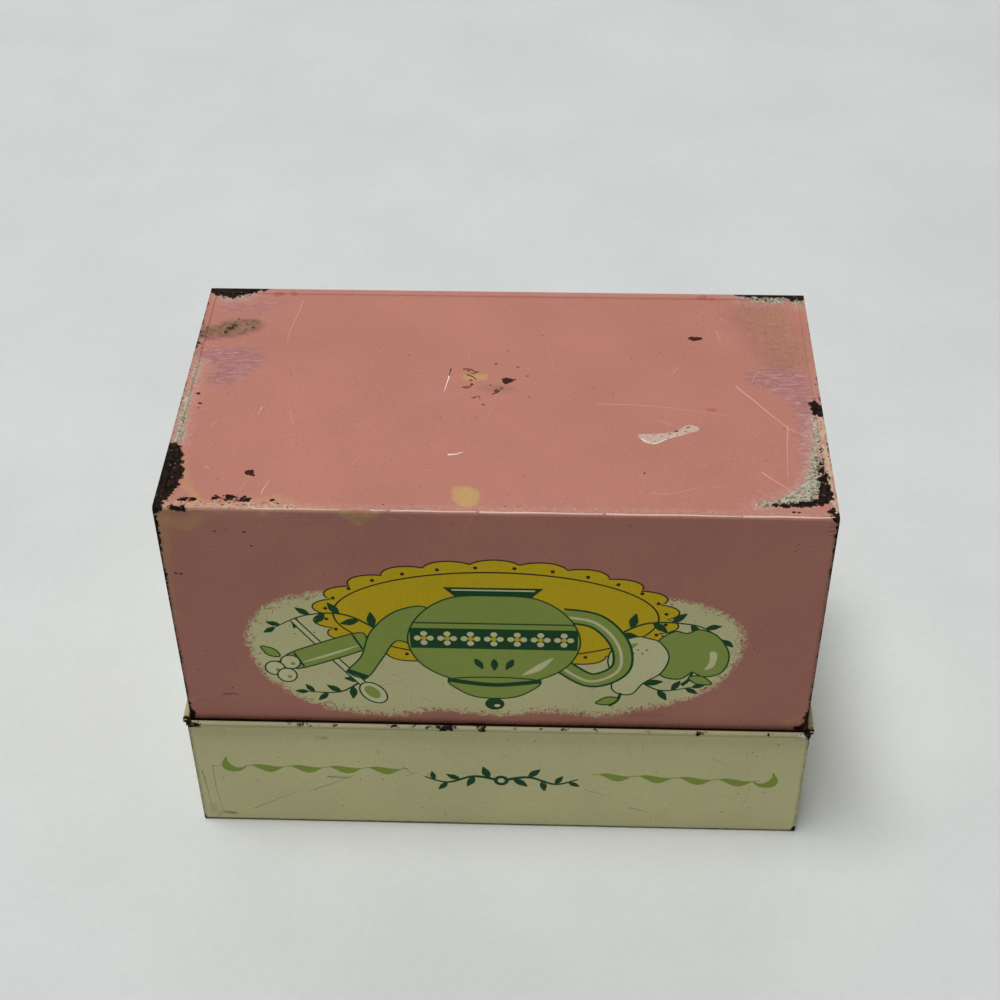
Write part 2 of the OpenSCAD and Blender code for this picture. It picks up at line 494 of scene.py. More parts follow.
@dataclass
class EndFold:
    """Folds an end panel's blank: a flat plate with flanges at its sides and a rim, lip or hem above and below.

    Attributes:
        x_out: The plate's outer face.
        side: 1 for the right end, -1 for the left.
        low_y: The plate's front edge.
        high_y: Its back edge.
        bottom: How the sheet runs below the plate, as (height where it starts, radius, turn in degrees).
        top: The same above the plate. A negative turn rolls outwards.
        flange_top: The height above which the sides have no flange.
        dent: How far the sheet lies below its nominal face.
    """

    x_out: float
    side: int
    low_y: float
    high_y: float
    bottom: tuple[float, float, float]
    top: tuple[float, float, float]
    flange_top: float
    dent: Dent

    def __call__(self, pq: Array, inward: Array) -> Array:
        """Place points of the blank, a given distance below its outer face."""
        p, q = pq[:, 0], pq[:, 1]
        depth = inward + self.dent(pq)
        made = np.stack([np.full(len(p), self.x_out) - depth, p, q], 1)
        flanged = q < self.flange_top
        for edge, way in ((self.low_y + TIGHT, -1), (self.high_y - TIGHT, 1)):
            s = (p - edge) * way
            over = flanged & (s > 0)
            into, along = self._turn(s[over], TIGHT, 90, depth[over])
            made[over, 0] = self.x_out - into
            made[over, 1] = edge + way * along
        for (height, radius, turn), way in ((self.bottom, -1), (self.top, 1)):
            s = (q - height) * way
            over = s > 0
            into, along = self._turn(s[over], radius, turn, depth[over])
            made[over, 0] = self.x_out - into
            made[over, 2] = height + way * along
        made[:, 0] *= self.side
        return made

    @staticmethod
    def _turn(s: Array, radius: float, degrees: float, depth: Array) -> tuple[Array, Array]:
        """Follow a bend away from the plate.

        Args:
            s: Distances from where the bend starts.
            radius: The radius of the outer face, positive.
            degrees: How far it turns, negative if it rolls outwards.
            depth: How far below the outer face each point lies.

        Returns:
            How far into the box, and how far on in the old direction, each point lies.
        """
        turn = math.radians(degrees)
        angle = np.minimum(s / radius, abs(turn))
        rest = s - angle * radius
        if turn > 0:
            into = radius - (radius - depth) * np.cos(angle) + rest * np.sin(angle)
            return into, (radius - depth) * np.sin(angle) + rest * np.cos(angle)
        into = -radius + (radius + depth) * np.cos(angle) - rest * np.sin(angle)
        return into, (radius + depth) * np.sin(angle) + rest * np.cos(angle)


@dataclass
class Blank:
    """A flat sheet before folding.

    Attributes:
        outline: Its cut edge.
        rows: Distances along it that need a line of points.
        pitch: The greatest distance between points.
        guides: Closed loops that the points follow.
        spots: Places with closer points, as (middle, radius).
        shapes: Printed shapes and marks from the bottom up, with their inks.
    """

    outline: list[Point]
    rows: list[float]
    pitch: float
    guides: list[list[Point]] = field(default_factory=list)
    spots: list[tuple[Point, float]] = field(default_factory=list)
    shapes: list[Print] = field(default_factory=list)

    def _lines(self, values: Iterable[float]) -> Array:
        """Fill the gaps between given values until none is wider than the pitch."""
        given = sorted(set(round(v, 4) for v in values))
        made = [given[0]]
        for a, b in zip(given, given[1:]):
            cuts = max(1, math.ceil((b - a) / self.pitch))
            made += [a + (b - a) * i / cuts for i in range(1, cuts + 1)]
        return np.array(made)

    def triangulate(self) -> tuple[Array, Array, Array]:
        """Cut the blank into triangles.

        Returns:
            Points, triangles, and each triangle's shape number, -1 where nothing is printed.
        """
        us = self._lines(p[0] for p in self.outline)
        vs = self._lines([p[1] for p in self.outline] + self.rows)
        grid = np.stack(np.meshgrid(us, vs), -1).reshape(-1, 2)
        low, high = np.min(self.outline, axis=0), np.max(self.outline, axis=0)
        extra = [grid]
        for centre, radius in self.spots:
            n = max(2, math.ceil(radius / SPOT_PITCH))
            span = np.linspace(-radius, radius, 2 * n + 1)
            patch = np.stack(np.meshgrid(span, span), -1).reshape(-1, 2) + centre
            kept = (patch > low + EDGE_CLEAR).all(1) & (patch < high - EDGE_CLEAR).all(1)
            extra.append(patch[kept & (np.linalg.norm(patch - centre, axis=1) < radius)])
        points = [Vector(p) for p in np.concatenate(extra)]
        faces = []
        for loop in [self.outline, *self.guides, *(s[0] for s in self.shapes)]:
            turned = list(loop) if area(loop) > 0 else list(loop)[::-1]
            faces.append(list(range(len(points), len(points) + len(turned))))
            points += [Vector(p) for p in turned]
        found, _, cells, _, _, owners = delaunay_2d_cdt(points, [], faces, 0, WELD, True)
        first_shape = 1 + len(self.guides)
        kept = [(c, max(o)) for c, o in zip(cells, owners) if 0 in o]
        triangles = np.array([c for c, _ in kept])
        shape = np.array([top - first_shape if top >= first_shape else -1 for _, top in kept])
        uv = np.array([tuple(p) for p in found], float)
        used, compact = np.unique(triangles, return_inverse=True)
        return uv[used], compact.reshape(-1, 3), shape


def in_scene(name: str, data: bpy.types.ID) -> bpy.types.Object:
    """Put a new object into the scene."""
    obj = bpy.data.objects.new(name, data)
    bpy.context.scene.collection.objects.link(obj)
    return obj


@dataclass
class Smear:
    """One place of wear.

    Attributes:
        kind: What it is.
        line: Its middle line in the part's frame.
        radii: Its radius at each point of the line.
        soft: How far a soft kind fades over, in millimetres.
        amount: How strong a soft kind is.
    """

    kind: Wear
    line: list[tuple[float, float, float]]
    radii: list[float]
    soft: float = 1.0
    amount: float = 1.0

    def depth(self, points: Array) -> Array:
        """Give how far inside the smear each point lies, in millimetres."""
        best = np.full(len(points), EMPTY)
        ends = list(zip(self.line, self.radii))
        for (a, ra), (b, rb) in zip(ends, ends[1:] or ends):
            gap, t = segment_distance(points, np.array(a, float), np.array(b, float))
            best = np.maximum(best, ra + (rb - ra) * t - gap)
        return best


@dataclass
class Sheet:
    """A folded sheet of tin with a printed and an inner face.

    Attributes:
        name: The piece's name.
        blank: The flat sheet.
        fold: How it folds.
        wear: Its wear.
        coated_inside: Tells which points of the blank are printed on the inner face too.
        patch: The sponged patch's outline on the blank, if it has one.
    """

    name: str
    blank: Blank
    fold: Fold
    wear: list[Smear]
    coated_inside: Dent = lambda uv: np.zeros(len(uv), bool)
    patch: list[Point] = field(default_factory=list)

    def normals(self, uv: Array, inward: Array) -> Array:
        """Work out the folded sheet's normals, in the sense of increasing u and v."""
        steps = ([NUDGE, 0], [-NUDGE, 0], [0, NUDGE], [0, -NUDGE])
        sides = [self.fold(uv + step, inward) for step in steps]
        n = np.cross(sides[0] - sides[1], sides[2] - sides[3])
        return n / np.maximum(np.linalg.norm(n, axis=1, keepdims=True), 1e-12)

    def fields(self, places: Array, uv: Array) -> dict[str, Array]:
        """Work out each kind of wear, and the patch's distance, at points of the sheet."""
        made = {k.value: np.full(len(uv), EMPTY if k in HARD_WEAR else 0.0) for k in Wear}
        for smear in self.wear:
            depth = smear.depth(places)
            if smear.kind not in HARD_WEAR:
                depth = smooth(depth / smear.soft) * smear.amount
            name = smear.kind.value
            made[name] = np.maximum(made[name], depth)
        made["patch_mm"] = distance_inside(uv, self.patch) if self.patch else np.full(len(uv), EMPTY)
        return made

    def build(self, materials: Sequence[Material]) -> bpy.types.Object:
        """Fold the blank and give it its thickness.

        Args:
            materials: The printed finish and the inner one.

        Returns:
            The finished piece.
        """
        uv, tris, shape = self.blank.triangulate()
        count = len(uv)
        zero, full = np.zeros(count), np.full(count, TIN)
        outer, inner = self.fold(uv, zero), self.fold(uv, full)
        n_out, n_in = self.normals(uv, zero), self.normals(uv, full)
        sense = 1.0 if float(((outer - inner) * n_out).sum()) > 0 else -1.0
        tris = tris if sense > 0 else tris[:, ::-1]
        walls = self._walls(tris, count)
        places = np.concatenate([outer, inner])
        mesh = bpy.data.meshes.new(self.name)
        faces = [*tris.tolist(), *(tris[:, ::-1] + count).tolist(), *walls.tolist()]
        mesh.from_pydata((places * MM).tolist(), [], faces)
        for material in materials:
            mesh.materials.append(material)
        coated = self.coated_inside(uv)
        inner_slot = np.where(coated[tris].all(1), 0, 1)
        slots = np.concatenate([np.zeros(len(tris)), inner_slot, np.ones(len(walls))]).astype(np.int32)
        mesh.polygons.foreach_set("material_index", slots)
        self._print(mesh, shape, np.where(inner_slot == 0, shape, -1))
        for name, values in self.fields(outer, uv).items():
            attribute = mesh.attributes.new(name, "FLOAT", "POINT")
            attribute.data.foreach_set("value", np.concatenate([values, values]).astype(np.float32))
        mesh.polygons.foreach_set("use_smooth", np.ones(len(faces), bool))
        self._set_normals(mesh, np.concatenate([n_out, -n_in]) * sense, 6 * len(tris))
        obj = in_scene(self.name, mesh)
        LOG.info("%s: %d triangles, %d printed shapes", self.name, len(tris), len(self.blank.shapes))
        return obj

    @staticmethod
    def _walls(tris: Array, count: int) -> Array:
        """Give the faces that close the sheet's cut edge."""
        edges = np.concatenate([tris[:, [0, 1]], tris[:, [1, 2]], tris[:, [2, 0]]])
        key = edges.min(1) * count + edges.max(1)
        _, first, uses = np.unique(key, return_index=True, return_counts=True)
        rim = edges[first[uses == 1]]
        return np.stack([rim[:, 1], rim[:, 0], rim[:, 0] + count, rim[:, 1] + count], 1)

    def _print(self, mesh: Mesh, outer: Array, inner: Array) -> None:
        """Write the ink of each printed triangle at its corners."""
        table = np.array([[*s[1].value, 1.0] for s in self.blank.shapes] + [[0.0] * 4])
        colours = np.zeros((len(mesh.loops), 4), np.float32)
        colours[: 6 * len(outer)] = np.repeat(table[np.concatenate([outer, inner])], 3, axis=0)
        ink = mesh.color_attributes.new("ink", "FLOAT_COLOR", "CORNER")
        ink.data.foreach_set("color", colours.ravel())

    @staticmethod
    def _set_normals(mesh: Mesh, normals: Array, smooth_loops: int) -> None:
        """Give the two faces of the sheet their true normals and leave the cut edge flat."""
        owners = np.zeros(len(mesh.loops), np.int32)
        mesh.loops.foreach_get("vertex_index", owners)
        flat = np.zeros(len(mesh.polygons) * 3, np.float32)
        mesh.polygons.foreach_get("normal", flat)
        totals = np.zeros(len(mesh.polygons), np.int32)
        mesh.polygons.foreach_get("loop_total", totals)
        chosen = np.repeat(flat.reshape(-1, 3), totals, axis=0)
        chosen[:smooth_loops] = normals[owners[:smooth_loops]]
        mesh.normals_split_custom_set(chosen.tolist())


# Print


@dataclass
class Artwork:
    """A printed picture.

    Attributes:
        shapes: Polygons from the bottom up, with their inks.
        place: Where the next shapes' origin goes.
        size: The factor that they are resized by.
    """

    shapes: list[Print] = field(default_factory=list)
    place: Point = (0.0, 0.0)
    size: float = 1.0

    def fill(self, points: list[Point], ink: Ink, line: float = 0.0, edge: Ink = DARK) -> None:
        """Print a polygon at the present place and size, with an outline round it if line is its width."""
        put = moved(points, self.place, 0.0, self.size)
        if line:
            self.shapes.append((grow(put, line), edge))
        self.shapes.append((put, ink))

    def leaf(self, at: Point, turn: float, length: float, ink: Ink = DARK, line: float = 0.0) -> None:
        """Print one pointed leaf from its stalk."""
        body = [(0, 0), (0.22, 0.17), (0.5, 0.24), (0.8, 0.13), (1, 0), (0.8, -0.1), (0.5, -0.2), (0.22, -0.15)]
        self.fill(moved(closed_curve(body, 3), at, turn, length), ink, line)

    def sprig(self, line: Points, leaves: int, length: float) -> None:
        """Print a stalk with leaves on both sides."""
        curve = open_curve(line, 8)
        self.fill(stroke(curve, 0.55, 0.25), DARK)
        for i in range(leaves):
            k = round((i + 0.6) / leaves * (len(curve) - 2))
            at = curve[k]
            self.leaf(at, heading(at, curve[k + 1]) + (48 if i % 2 else -48), length * (1 - 0.35 * i / leaves))
        self.leaf(curve[-1], heading(curve[-3], curve[-1]), length * 0.7)


class KitchenPicture(Artwork):
    """The front's picture: a teapot on a scalloped mat, between fruit and baking tools, all of plain kinds."""

    line = 0.36

    def draw(self) -> list[Print]:
        """Draw it all from the bottom up."""
        self.mat()
        self.fruit()
        self.baking_tools()
        self.place, self.size = (0.4, 0.6), 1.34
        self.teapot()
        return self.shapes

    def mat(self) -> None:
        """Draw the scalloped mat with its outline and inner ring."""
        def scalloped(rx: float, ry: float, depth: float, count: int = 22) -> list[Point]:
            """Draw an oval with round scallops."""
            turns = np.arange(count * 8) * math.tau / (count * 8)
            swell = 1 - depth + depth * np.abs(np.sin(turns * count / 2)) ** 0.8
            return [(rx * s * math.cos(a), -6.6 + ry * s * math.sin(a)) for a, s in zip(turns, swell)]

        self.fill(scalloped(37.5, 15.6, 0.075), Ink.MUSTARD, self.line, Ink.BROWN)
        self.fill(scalloped(33.4, 12.5, 0), Ink.BROWN)
        self.fill(scalloped(33, 12.1, 0), Ink.MUSTARD)
        for i in range(28):
            a = math.tau * (i + 0.5) / 28
            self.fill(disc((34.9 * math.cos(a), -6.6 + 13.6 * math.sin(a)), 0.45, steps=10), Ink.BROWN)

    def teapot(self) -> None:
        """Draw the teapot with its banded belly, spout, handle and lid."""
        grip = [(-10.5, 5.2), (-15.2, 8.4), (-19.6, 5.8), (-19.4, 0.2), (-15.8, -4.6), (-10.5, -5.8)]
        handle = open_curve(grip, 8)
        self.fill(stroke(handle, 3.3), DARK)
        self.fill(stroke(handle, 2.5), MID)
        self.fill(stroke(moved(handle, (0.25, 0.25)), 0.5), PALE)
        spout = [
            (10, -6.6), (14.8, -6), (18.8, -1.6), (20.6, 4), (22.8, 7.4), (20.2, 8.6), (17.6, 4.4), (15, 0.2),
            (10.5, 1.4),
        ]
        self.fill(closed_curve(spout), MID, self.line)
        self.fill(stroke([(20, 8.7), (23.2, 7.2)], 0.9), DARK)
        self.fill([(-5.8, -9.4), (5.8, -9.4), (7.6, -11.4), (-7.6, -11.4)], DARK)
        self.fill([(-6.1, -10.7), (6.1, -10.7), (6.4, -11), (-6.4, -11)], PALE)
        right = [(0, 9.4), (6.2, 8.7), (11.2, 5.4), (13.2, 0), (11.2, -5.4), (6.6, -9), (0, -9.6)]
        body = closed_curve(mirrored(right), 8)
        self.fill(body, MID, self.line)
        self.fill([(-12.9, 1.8), (-12.95, -2.6), (12.95, -2.6), (12.9, 1.8)], DARK)
        self.fill([(-12.6, -3.6), (-12.45, -3.9), (12.45, -3.9), (12.6, -3.6)], DARK)
        for i in range(7):
            x = (i - 3) * 3.6
            for a in (0, 1.57, 3.14, 4.71):
                self.fill(disc((x + math.cos(a), -0.4 + math.sin(a)), 0.55, steps=10), PALE)
            self.fill(disc((x, -0.4), 0.45, steps=10), Ink.MUSTARD)
        self.fill(closed_curve([(-9.2, 3.6), (-7.2, 6.4), (-4.4, 7.6), (-5.2, 6.6), (-7.4, 4.6)]), PALE)
        dome = [(-6.9, 8.9), (-5.4, 11.2), (-2.4, 12.7), (2.4, 12.7), (5.4, 11.2), (6.9, 8.9), (0, 8.3)]
        self.fill(closed_curve(dome), MID, self.line)
        self.fill(stroke(open_curve([(-7.4, 8.9), (0, 9.9), (7.4, 8.9)], 8), 0.9), DARK)
        self.fill(disc((0, 14.3), 1.55, 0.9), DARK)
        self.fill(disc((-0.4, 14.7), 0.5, 0.7), PALE)
        for x in (-3, 0, 3):
            self.leaf((x, 4), 90 + x * 9, 2.7)

    def fruit(self) -> None:
        """Draw an apple and a pear with leaves."""
        self.sprig([(-24, -1), (-31, -5.4), (-41, -5), (-46.5, -1)], 7, 4.6)
        self.sprig([(-27, 9), (-34, 14.4), (-41, 13.4)], 5, 4.4)
        half = [(0, 5), (2.6, 6.6), (6.2, 5.4), (7.8, 0.6), (6, -4.8), (2.6, -7.2), (0, -6.4)]
        apple = closed_curve(mirrored(half))
        self.fill(moved(apple, (-40.2, 3.8), 8), MID, self.line)
        shine = closed_curve([(-5.6, 0.2), (-4.6, 3.8), (-2.6, 4.6), (-3.8, 2.4), (-4.2, -0.6)])
        self.fill(moved(shine, (-40.2, 3.8), 8), PALE)
        self.fill(stroke(open_curve([(-40.9, 8.6), (-40.4, 11), (-38.9, 12.8)]), 0.6, 1), DARK)
        self.leaf((-40.4, 10.4), 158, 5, MID, self.line)
        half = [(0, 9.2), (2.2, 8.2), (3.2, 4.6), (5.7, 0.4), (5.6, -4.6), (2.6, -7.8), (0, -8.2)]
        pear = closed_curve(mirrored(half))
        self.fill(moved(pear, (-29, 7), -17), PALE, self.line)
        shade = closed_curve([(1.6, 5), (3.9, 0.4), (4, -4), (1.6, -6.4), (2.6, -2.8), (2.4, 1.4)])
        self.fill(moved(shade, (-29, 7), -17), MID)
        self.fill(stroke(open_curve([(-26.3, 15.6), (-25.5, 18), (-23.8, 19.6)]), 0.6, 1), DARK)
        self.leaf((-25.6, 17.4), 18, 4.6, MID, self.line)
        for i in range(5):
            self.fill(disc((-31.2 + 0.9 * i, 2.4 + 1.1 * (i % 2)), 0.22, steps=8), DARK)

    def baking_tools(self) -> None:
        """Draw a rolling pin crossed with a wooden spoon, and three eggs, with leaves."""
        self.sprig([(24, -2), (31, -6.4), (39, -6), (45.5, -2.4)], 7, 4.4)
        self.sprig([(27, 12), (33, 16.8), (40, 17)], 5, 4.2)
        turn, at = 24, (35, 4.4)
        spoon = [(27.4, 15.4), (34, 6.4), (41.6, -4.6)]
        self.fill(stroke(open_curve(spoon), 1.9, 1.6), DARK)
        self.fill(stroke(open_curve(spoon), 1.2, 0.9), PALE)
        self.fill(disc((26.2, 17), 3.4, 0.66, 128), PALE, self.line)
        self.fill(disc((26.4, 16.8), 2.2, 0.6, 128), MID)
        for end in (-1, 1):
            knob = [(8.2, 1), (9.4, 0.8), (11.6, 1.5), (13.2, 1), (13.4, -1), (11.6, -1.5), (9.4, -0.8), (8.2, -1)]
            knob = [(x * end, y) for x, y in knob[::-end]]
            self.fill(moved(closed_curve(knob, 3), at, turn), DARK)
        barrel = [(-8.4, 2.2), (-8.9, 0), (-8.4, -2.2), (0, -2.6), (8.4, -2.2), (8.9, 0), (8.4, 2.2), (0, 2.6)]
        self.fill(moved(closed_curve(barrel, 4), at, turn), MID, self.line)
        self.fill(moved(closed_curve([(-7.2, 1), (0, 1.5), (7.2, 1), (0, 0.8)], 4), at, turn), PALE)
        for x in (-6.9, 6.9):
            self.fill(moved(rectangle((x - 0.25, -2.3), (x + 0.25, 2.3)), at, turn), DARK)
        for dx, dy in ((0, 0), (3.4, 1.9), (1, 4)):
            centre = (43.2 + dx, 5 + dy + 3)
            self.fill(disc(centre, 1.9, steps=16), PALE, self.line)
            self.fill(disc((centre[0] - 0.5, centre[1] + 0.5), 0.5, steps=8), MID)
        self.leaf((45.4, 6.2), -38, 4.4, MID, self.line)


PATCH: list[Point] = [
    (-50.5, -1.5), (-48.5, 7.5), (-44, 14), (-36, 18.4), (-29, 20.6), (-22, 22.4), (-14, 21.4),
    (-7, 21.8), (0, 22.6), (7, 22), (14, 21.8), (22, 23.4), (31, 22.6), (38, 20.4), (45, 15.6),
    (50, 8), (50.8, -1), (46.4, -8), (38, -11.6), (26, -12.6), (0, -13.6), (-26, -12.6),
    (-38, -11.2), (-46.6, -7.6),
]


class LidPrint(Artwork):
    """The lid's front: two twisted ribbons with a small leafy sprig between them."""

    def ribbon(self, start: float, lobes: int, pitch: float, height: float, fall: float, hook: int) -> None:
        """Print one twisted ribbon, drawn as photographed, with z upwards.

        Args:
            start: Where its first lobe starts along X.
            lobes: How many lobes it has.
            pitch: The length of a lobe and the hairline after it.
            height: The height of its middle at the start.
            fall: How far it drops for each millimetre.
            hook: -1 if its thick end is on the left, 1 if on the right.
        """
        x = np.linspace(start - 1.6, start + lobes * pitch, lobes * 16 + 4)
        share = ((x - start) / pitch) % 1
        middle = height + 0.55 * np.cos(share * math.tau) - fall * (x - start)
        half = 0.12 + 1 * np.sin(math.pi * np.clip(share / 0.8, 0, 1)) ** 1.1 * (x > start)
        top = list(zip(x, middle + half))
        bottom = list(zip(x, middle - half))
        self.fill(top + bottom[::-1], Ink.RIBBON_GREEN)
        comma = [
            (0.2, 0.5), (2, -0.3), (3.6, 0.4), (4.5, 1.9), (4.6, 3.5), (5.9, 1), (5.5, -0.9), (3.8, -1.7),
            (1.8, -1.3),
        ]
        at = (start - 0.7, height) if hook < 0 else (start + lobes * pitch - 1.9, height - fall * lobes * pitch)
        self.fill([(at[0] + hook * a, at[1] + b) for a, b in closed_curve(comma, 4)], Ink.RIBBON_GREEN)

    def ornament(self) -> None:
        """Print the leafy sprig in the middle."""
        for side in (-1, 1):
            stalk = [(0.8, 15.6), (0.8 + side * 6, 17), (0.8 + side * 12, 14.8), (0.8 + side * 17, 16.6)]
            curve = open_curve(stalk, 8)
            self.fill(stroke(curve, 0.9, 0.4), DARK)
            for i, k in enumerate((4, 8, 12, 16, 20)):
                way = heading(curve[k], curve[k + 1])
                self.leaf(curve[k], way + (55 if i % 2 else -55), 4.2 - 0.3 * i)
        self.fill(disc((0.8, 15.7), 1.7, steps=16), DARK)
        self.fill(disc((0.8, 15.7), 0.8, steps=12), PALE)

    def draw(self) -> list[Print]:
        """Draw it all."""
        self.ribbon(-54.6, 4, 8.7, 18.7, 0, -1)
        self.ribbon(22.45, 4, 8.85, 18, 0.03, 1)
        self.ornament()
        return self.shapes


# Shader node groups and finishes


class Graph:
    """Adds nodes to a tree and links them."""

    def __init__(self, tree: NodeTree) -> None:
        """Take the tree to work on."""
        self.tree = tree

    def node(self, kind: str, **settings: object) -> bpy.types.Node:
        """Add a node and set its properties."""
        made = self.tree.nodes.new(kind)
        for name, value in settings.items():
            setattr(made, name, value)
        return made

    def put(self, socket: Socket, value: object) -> None:
        """Link a socket to an input, or set it."""
        if isinstance(value, Socket):
            self.tree.links.new(value, socket)
        elif isinstance(value, tuple) and len(value) == 3 and socket.type == "RGBA":
            socket.default_value = (*value, 1.0)
        else:
            socket.default_value = value

    def fed(self, node: bpy.types.Node, values: dict, output: int | str = 0) -> Socket:
        """Feed a node's inputs.

        Args:
            node: The node.
            values: What to link or set, by the input's number or label.
            output: The number or label of the output to give.

        Returns:
            That output.
        """
        for key, value in values.items():
            self.put(node.inputs[key], value)
        return node.outputs[output]

    def math(self, operation: str, a: object, b: object = 0.0, clamp: bool = False) -> Socket:
        """Combine two numbers."""
        made = self.node("ShaderNodeMath", operation=operation, use_clamp=clamp)
        return self.fed(made, {0: a, 1: b})

    def plus(self, a: object, b: object) -> Socket:
        """Add two numbers."""
        return self.math("ADD", a, b)

    def minus(self, a: object, b: object, clamp: bool = False) -> Socket:
        """Take one number from another."""
        return self.math("SUBTRACT", a, b, clamp)

    def times(self, a: object, b: object, clamp: bool = False) -> Socket:
        """Multiply two numbers."""
        return self.math("MULTIPLY", a, b, clamp)

    def vector(self, operation: str, a: object, b: object) -> Socket:
        """Combine two vectors."""
        return self.fed(self.node("ShaderNodeVectorMath", operation=operation), {0: a, 1: b})

    def mix(self, factor: object, a: object, b: object) -> Socket:
        """Mix two colours."""
        return self.fed(self.node("ShaderNodeMix", data_type="RGBA"), {0: factor, 6: a, 7: b}, 2)

    def blend(self, factor: object, a: object, b: object) -> Socket:
        """Mix two numbers."""
        return self.fed(self.node("ShaderNodeMix", data_type="FLOAT"), {0: factor, 2: a, 3: b})

    def noise(
        self, place: object, size: object, detail: float = 3.0, rough: float = 0.55, warp: float = 0.0
    ) -> Socket:
        """Add noise with features of a given size in millimetres, from 0 to 1."""
        made = self.node("ShaderNodeTexNoise")
        scale = 1.0 / size if isinstance(size, float) else self.math("DIVIDE", 1.0, size)
        given = {"Vector": place, "Scale": scale, "Detail": detail, "Roughness": rough, "Distortion": warp}
        return self.fed(made, given, "Fac")

    def step(self, value: object, low: float, high: float, to: tuple[float, float] = (0.0, 1.0)) -> Socket:
        """Ease from one number to another as a value passes from low to high."""
        made = self.node("ShaderNodeMapRange", interpolation_type="SMOOTHSTEP")
        return self.fed(made, dict(enumerate((value, low, high, *to))))

    def held(self, name: str) -> Socket:
        """Read a number held by the mesh."""
        return self.node("ShaderNodeAttribute", attribute_name=name).outputs["Fac"]

    def effect(self, group: NodeTree, **values: object) -> bpy.types.bpy_prop_collection:
        """Place a shared effect with its values, and give its outputs."""
        made = self.node("ShaderNodeGroup", node_tree=group)
        self.fed(made, values)
        return made.outputs

    def bump(self, height: object, strength: float, depth: float) -> Socket:
        """Turn a height into a bumped normal, with the depth in millimetres."""
        given = {"Strength": strength, "Distance": depth * MM, "Height": height}
        return self.fed(self.node("ShaderNodeBump"), given)


def new_finish(name: str) -> tuple[Material, Graph, bpy.types.Node, Socket]:
    """Start a material.

    Args:
        name: Its name.

    Returns:
        The material, its graph, its shader and the place in millimetres.
    """
    material = bpy.data.materials.new(name)
    material.use_nodes = True
    graph = Graph(material.node_tree)
    place = graph.vector("MULTIPLY", graph.node("ShaderNodeTexCoord").outputs["Object"], (1 / MM,) * 3)
    return material, graph, material.node_tree.nodes["Principled BSDF"], place


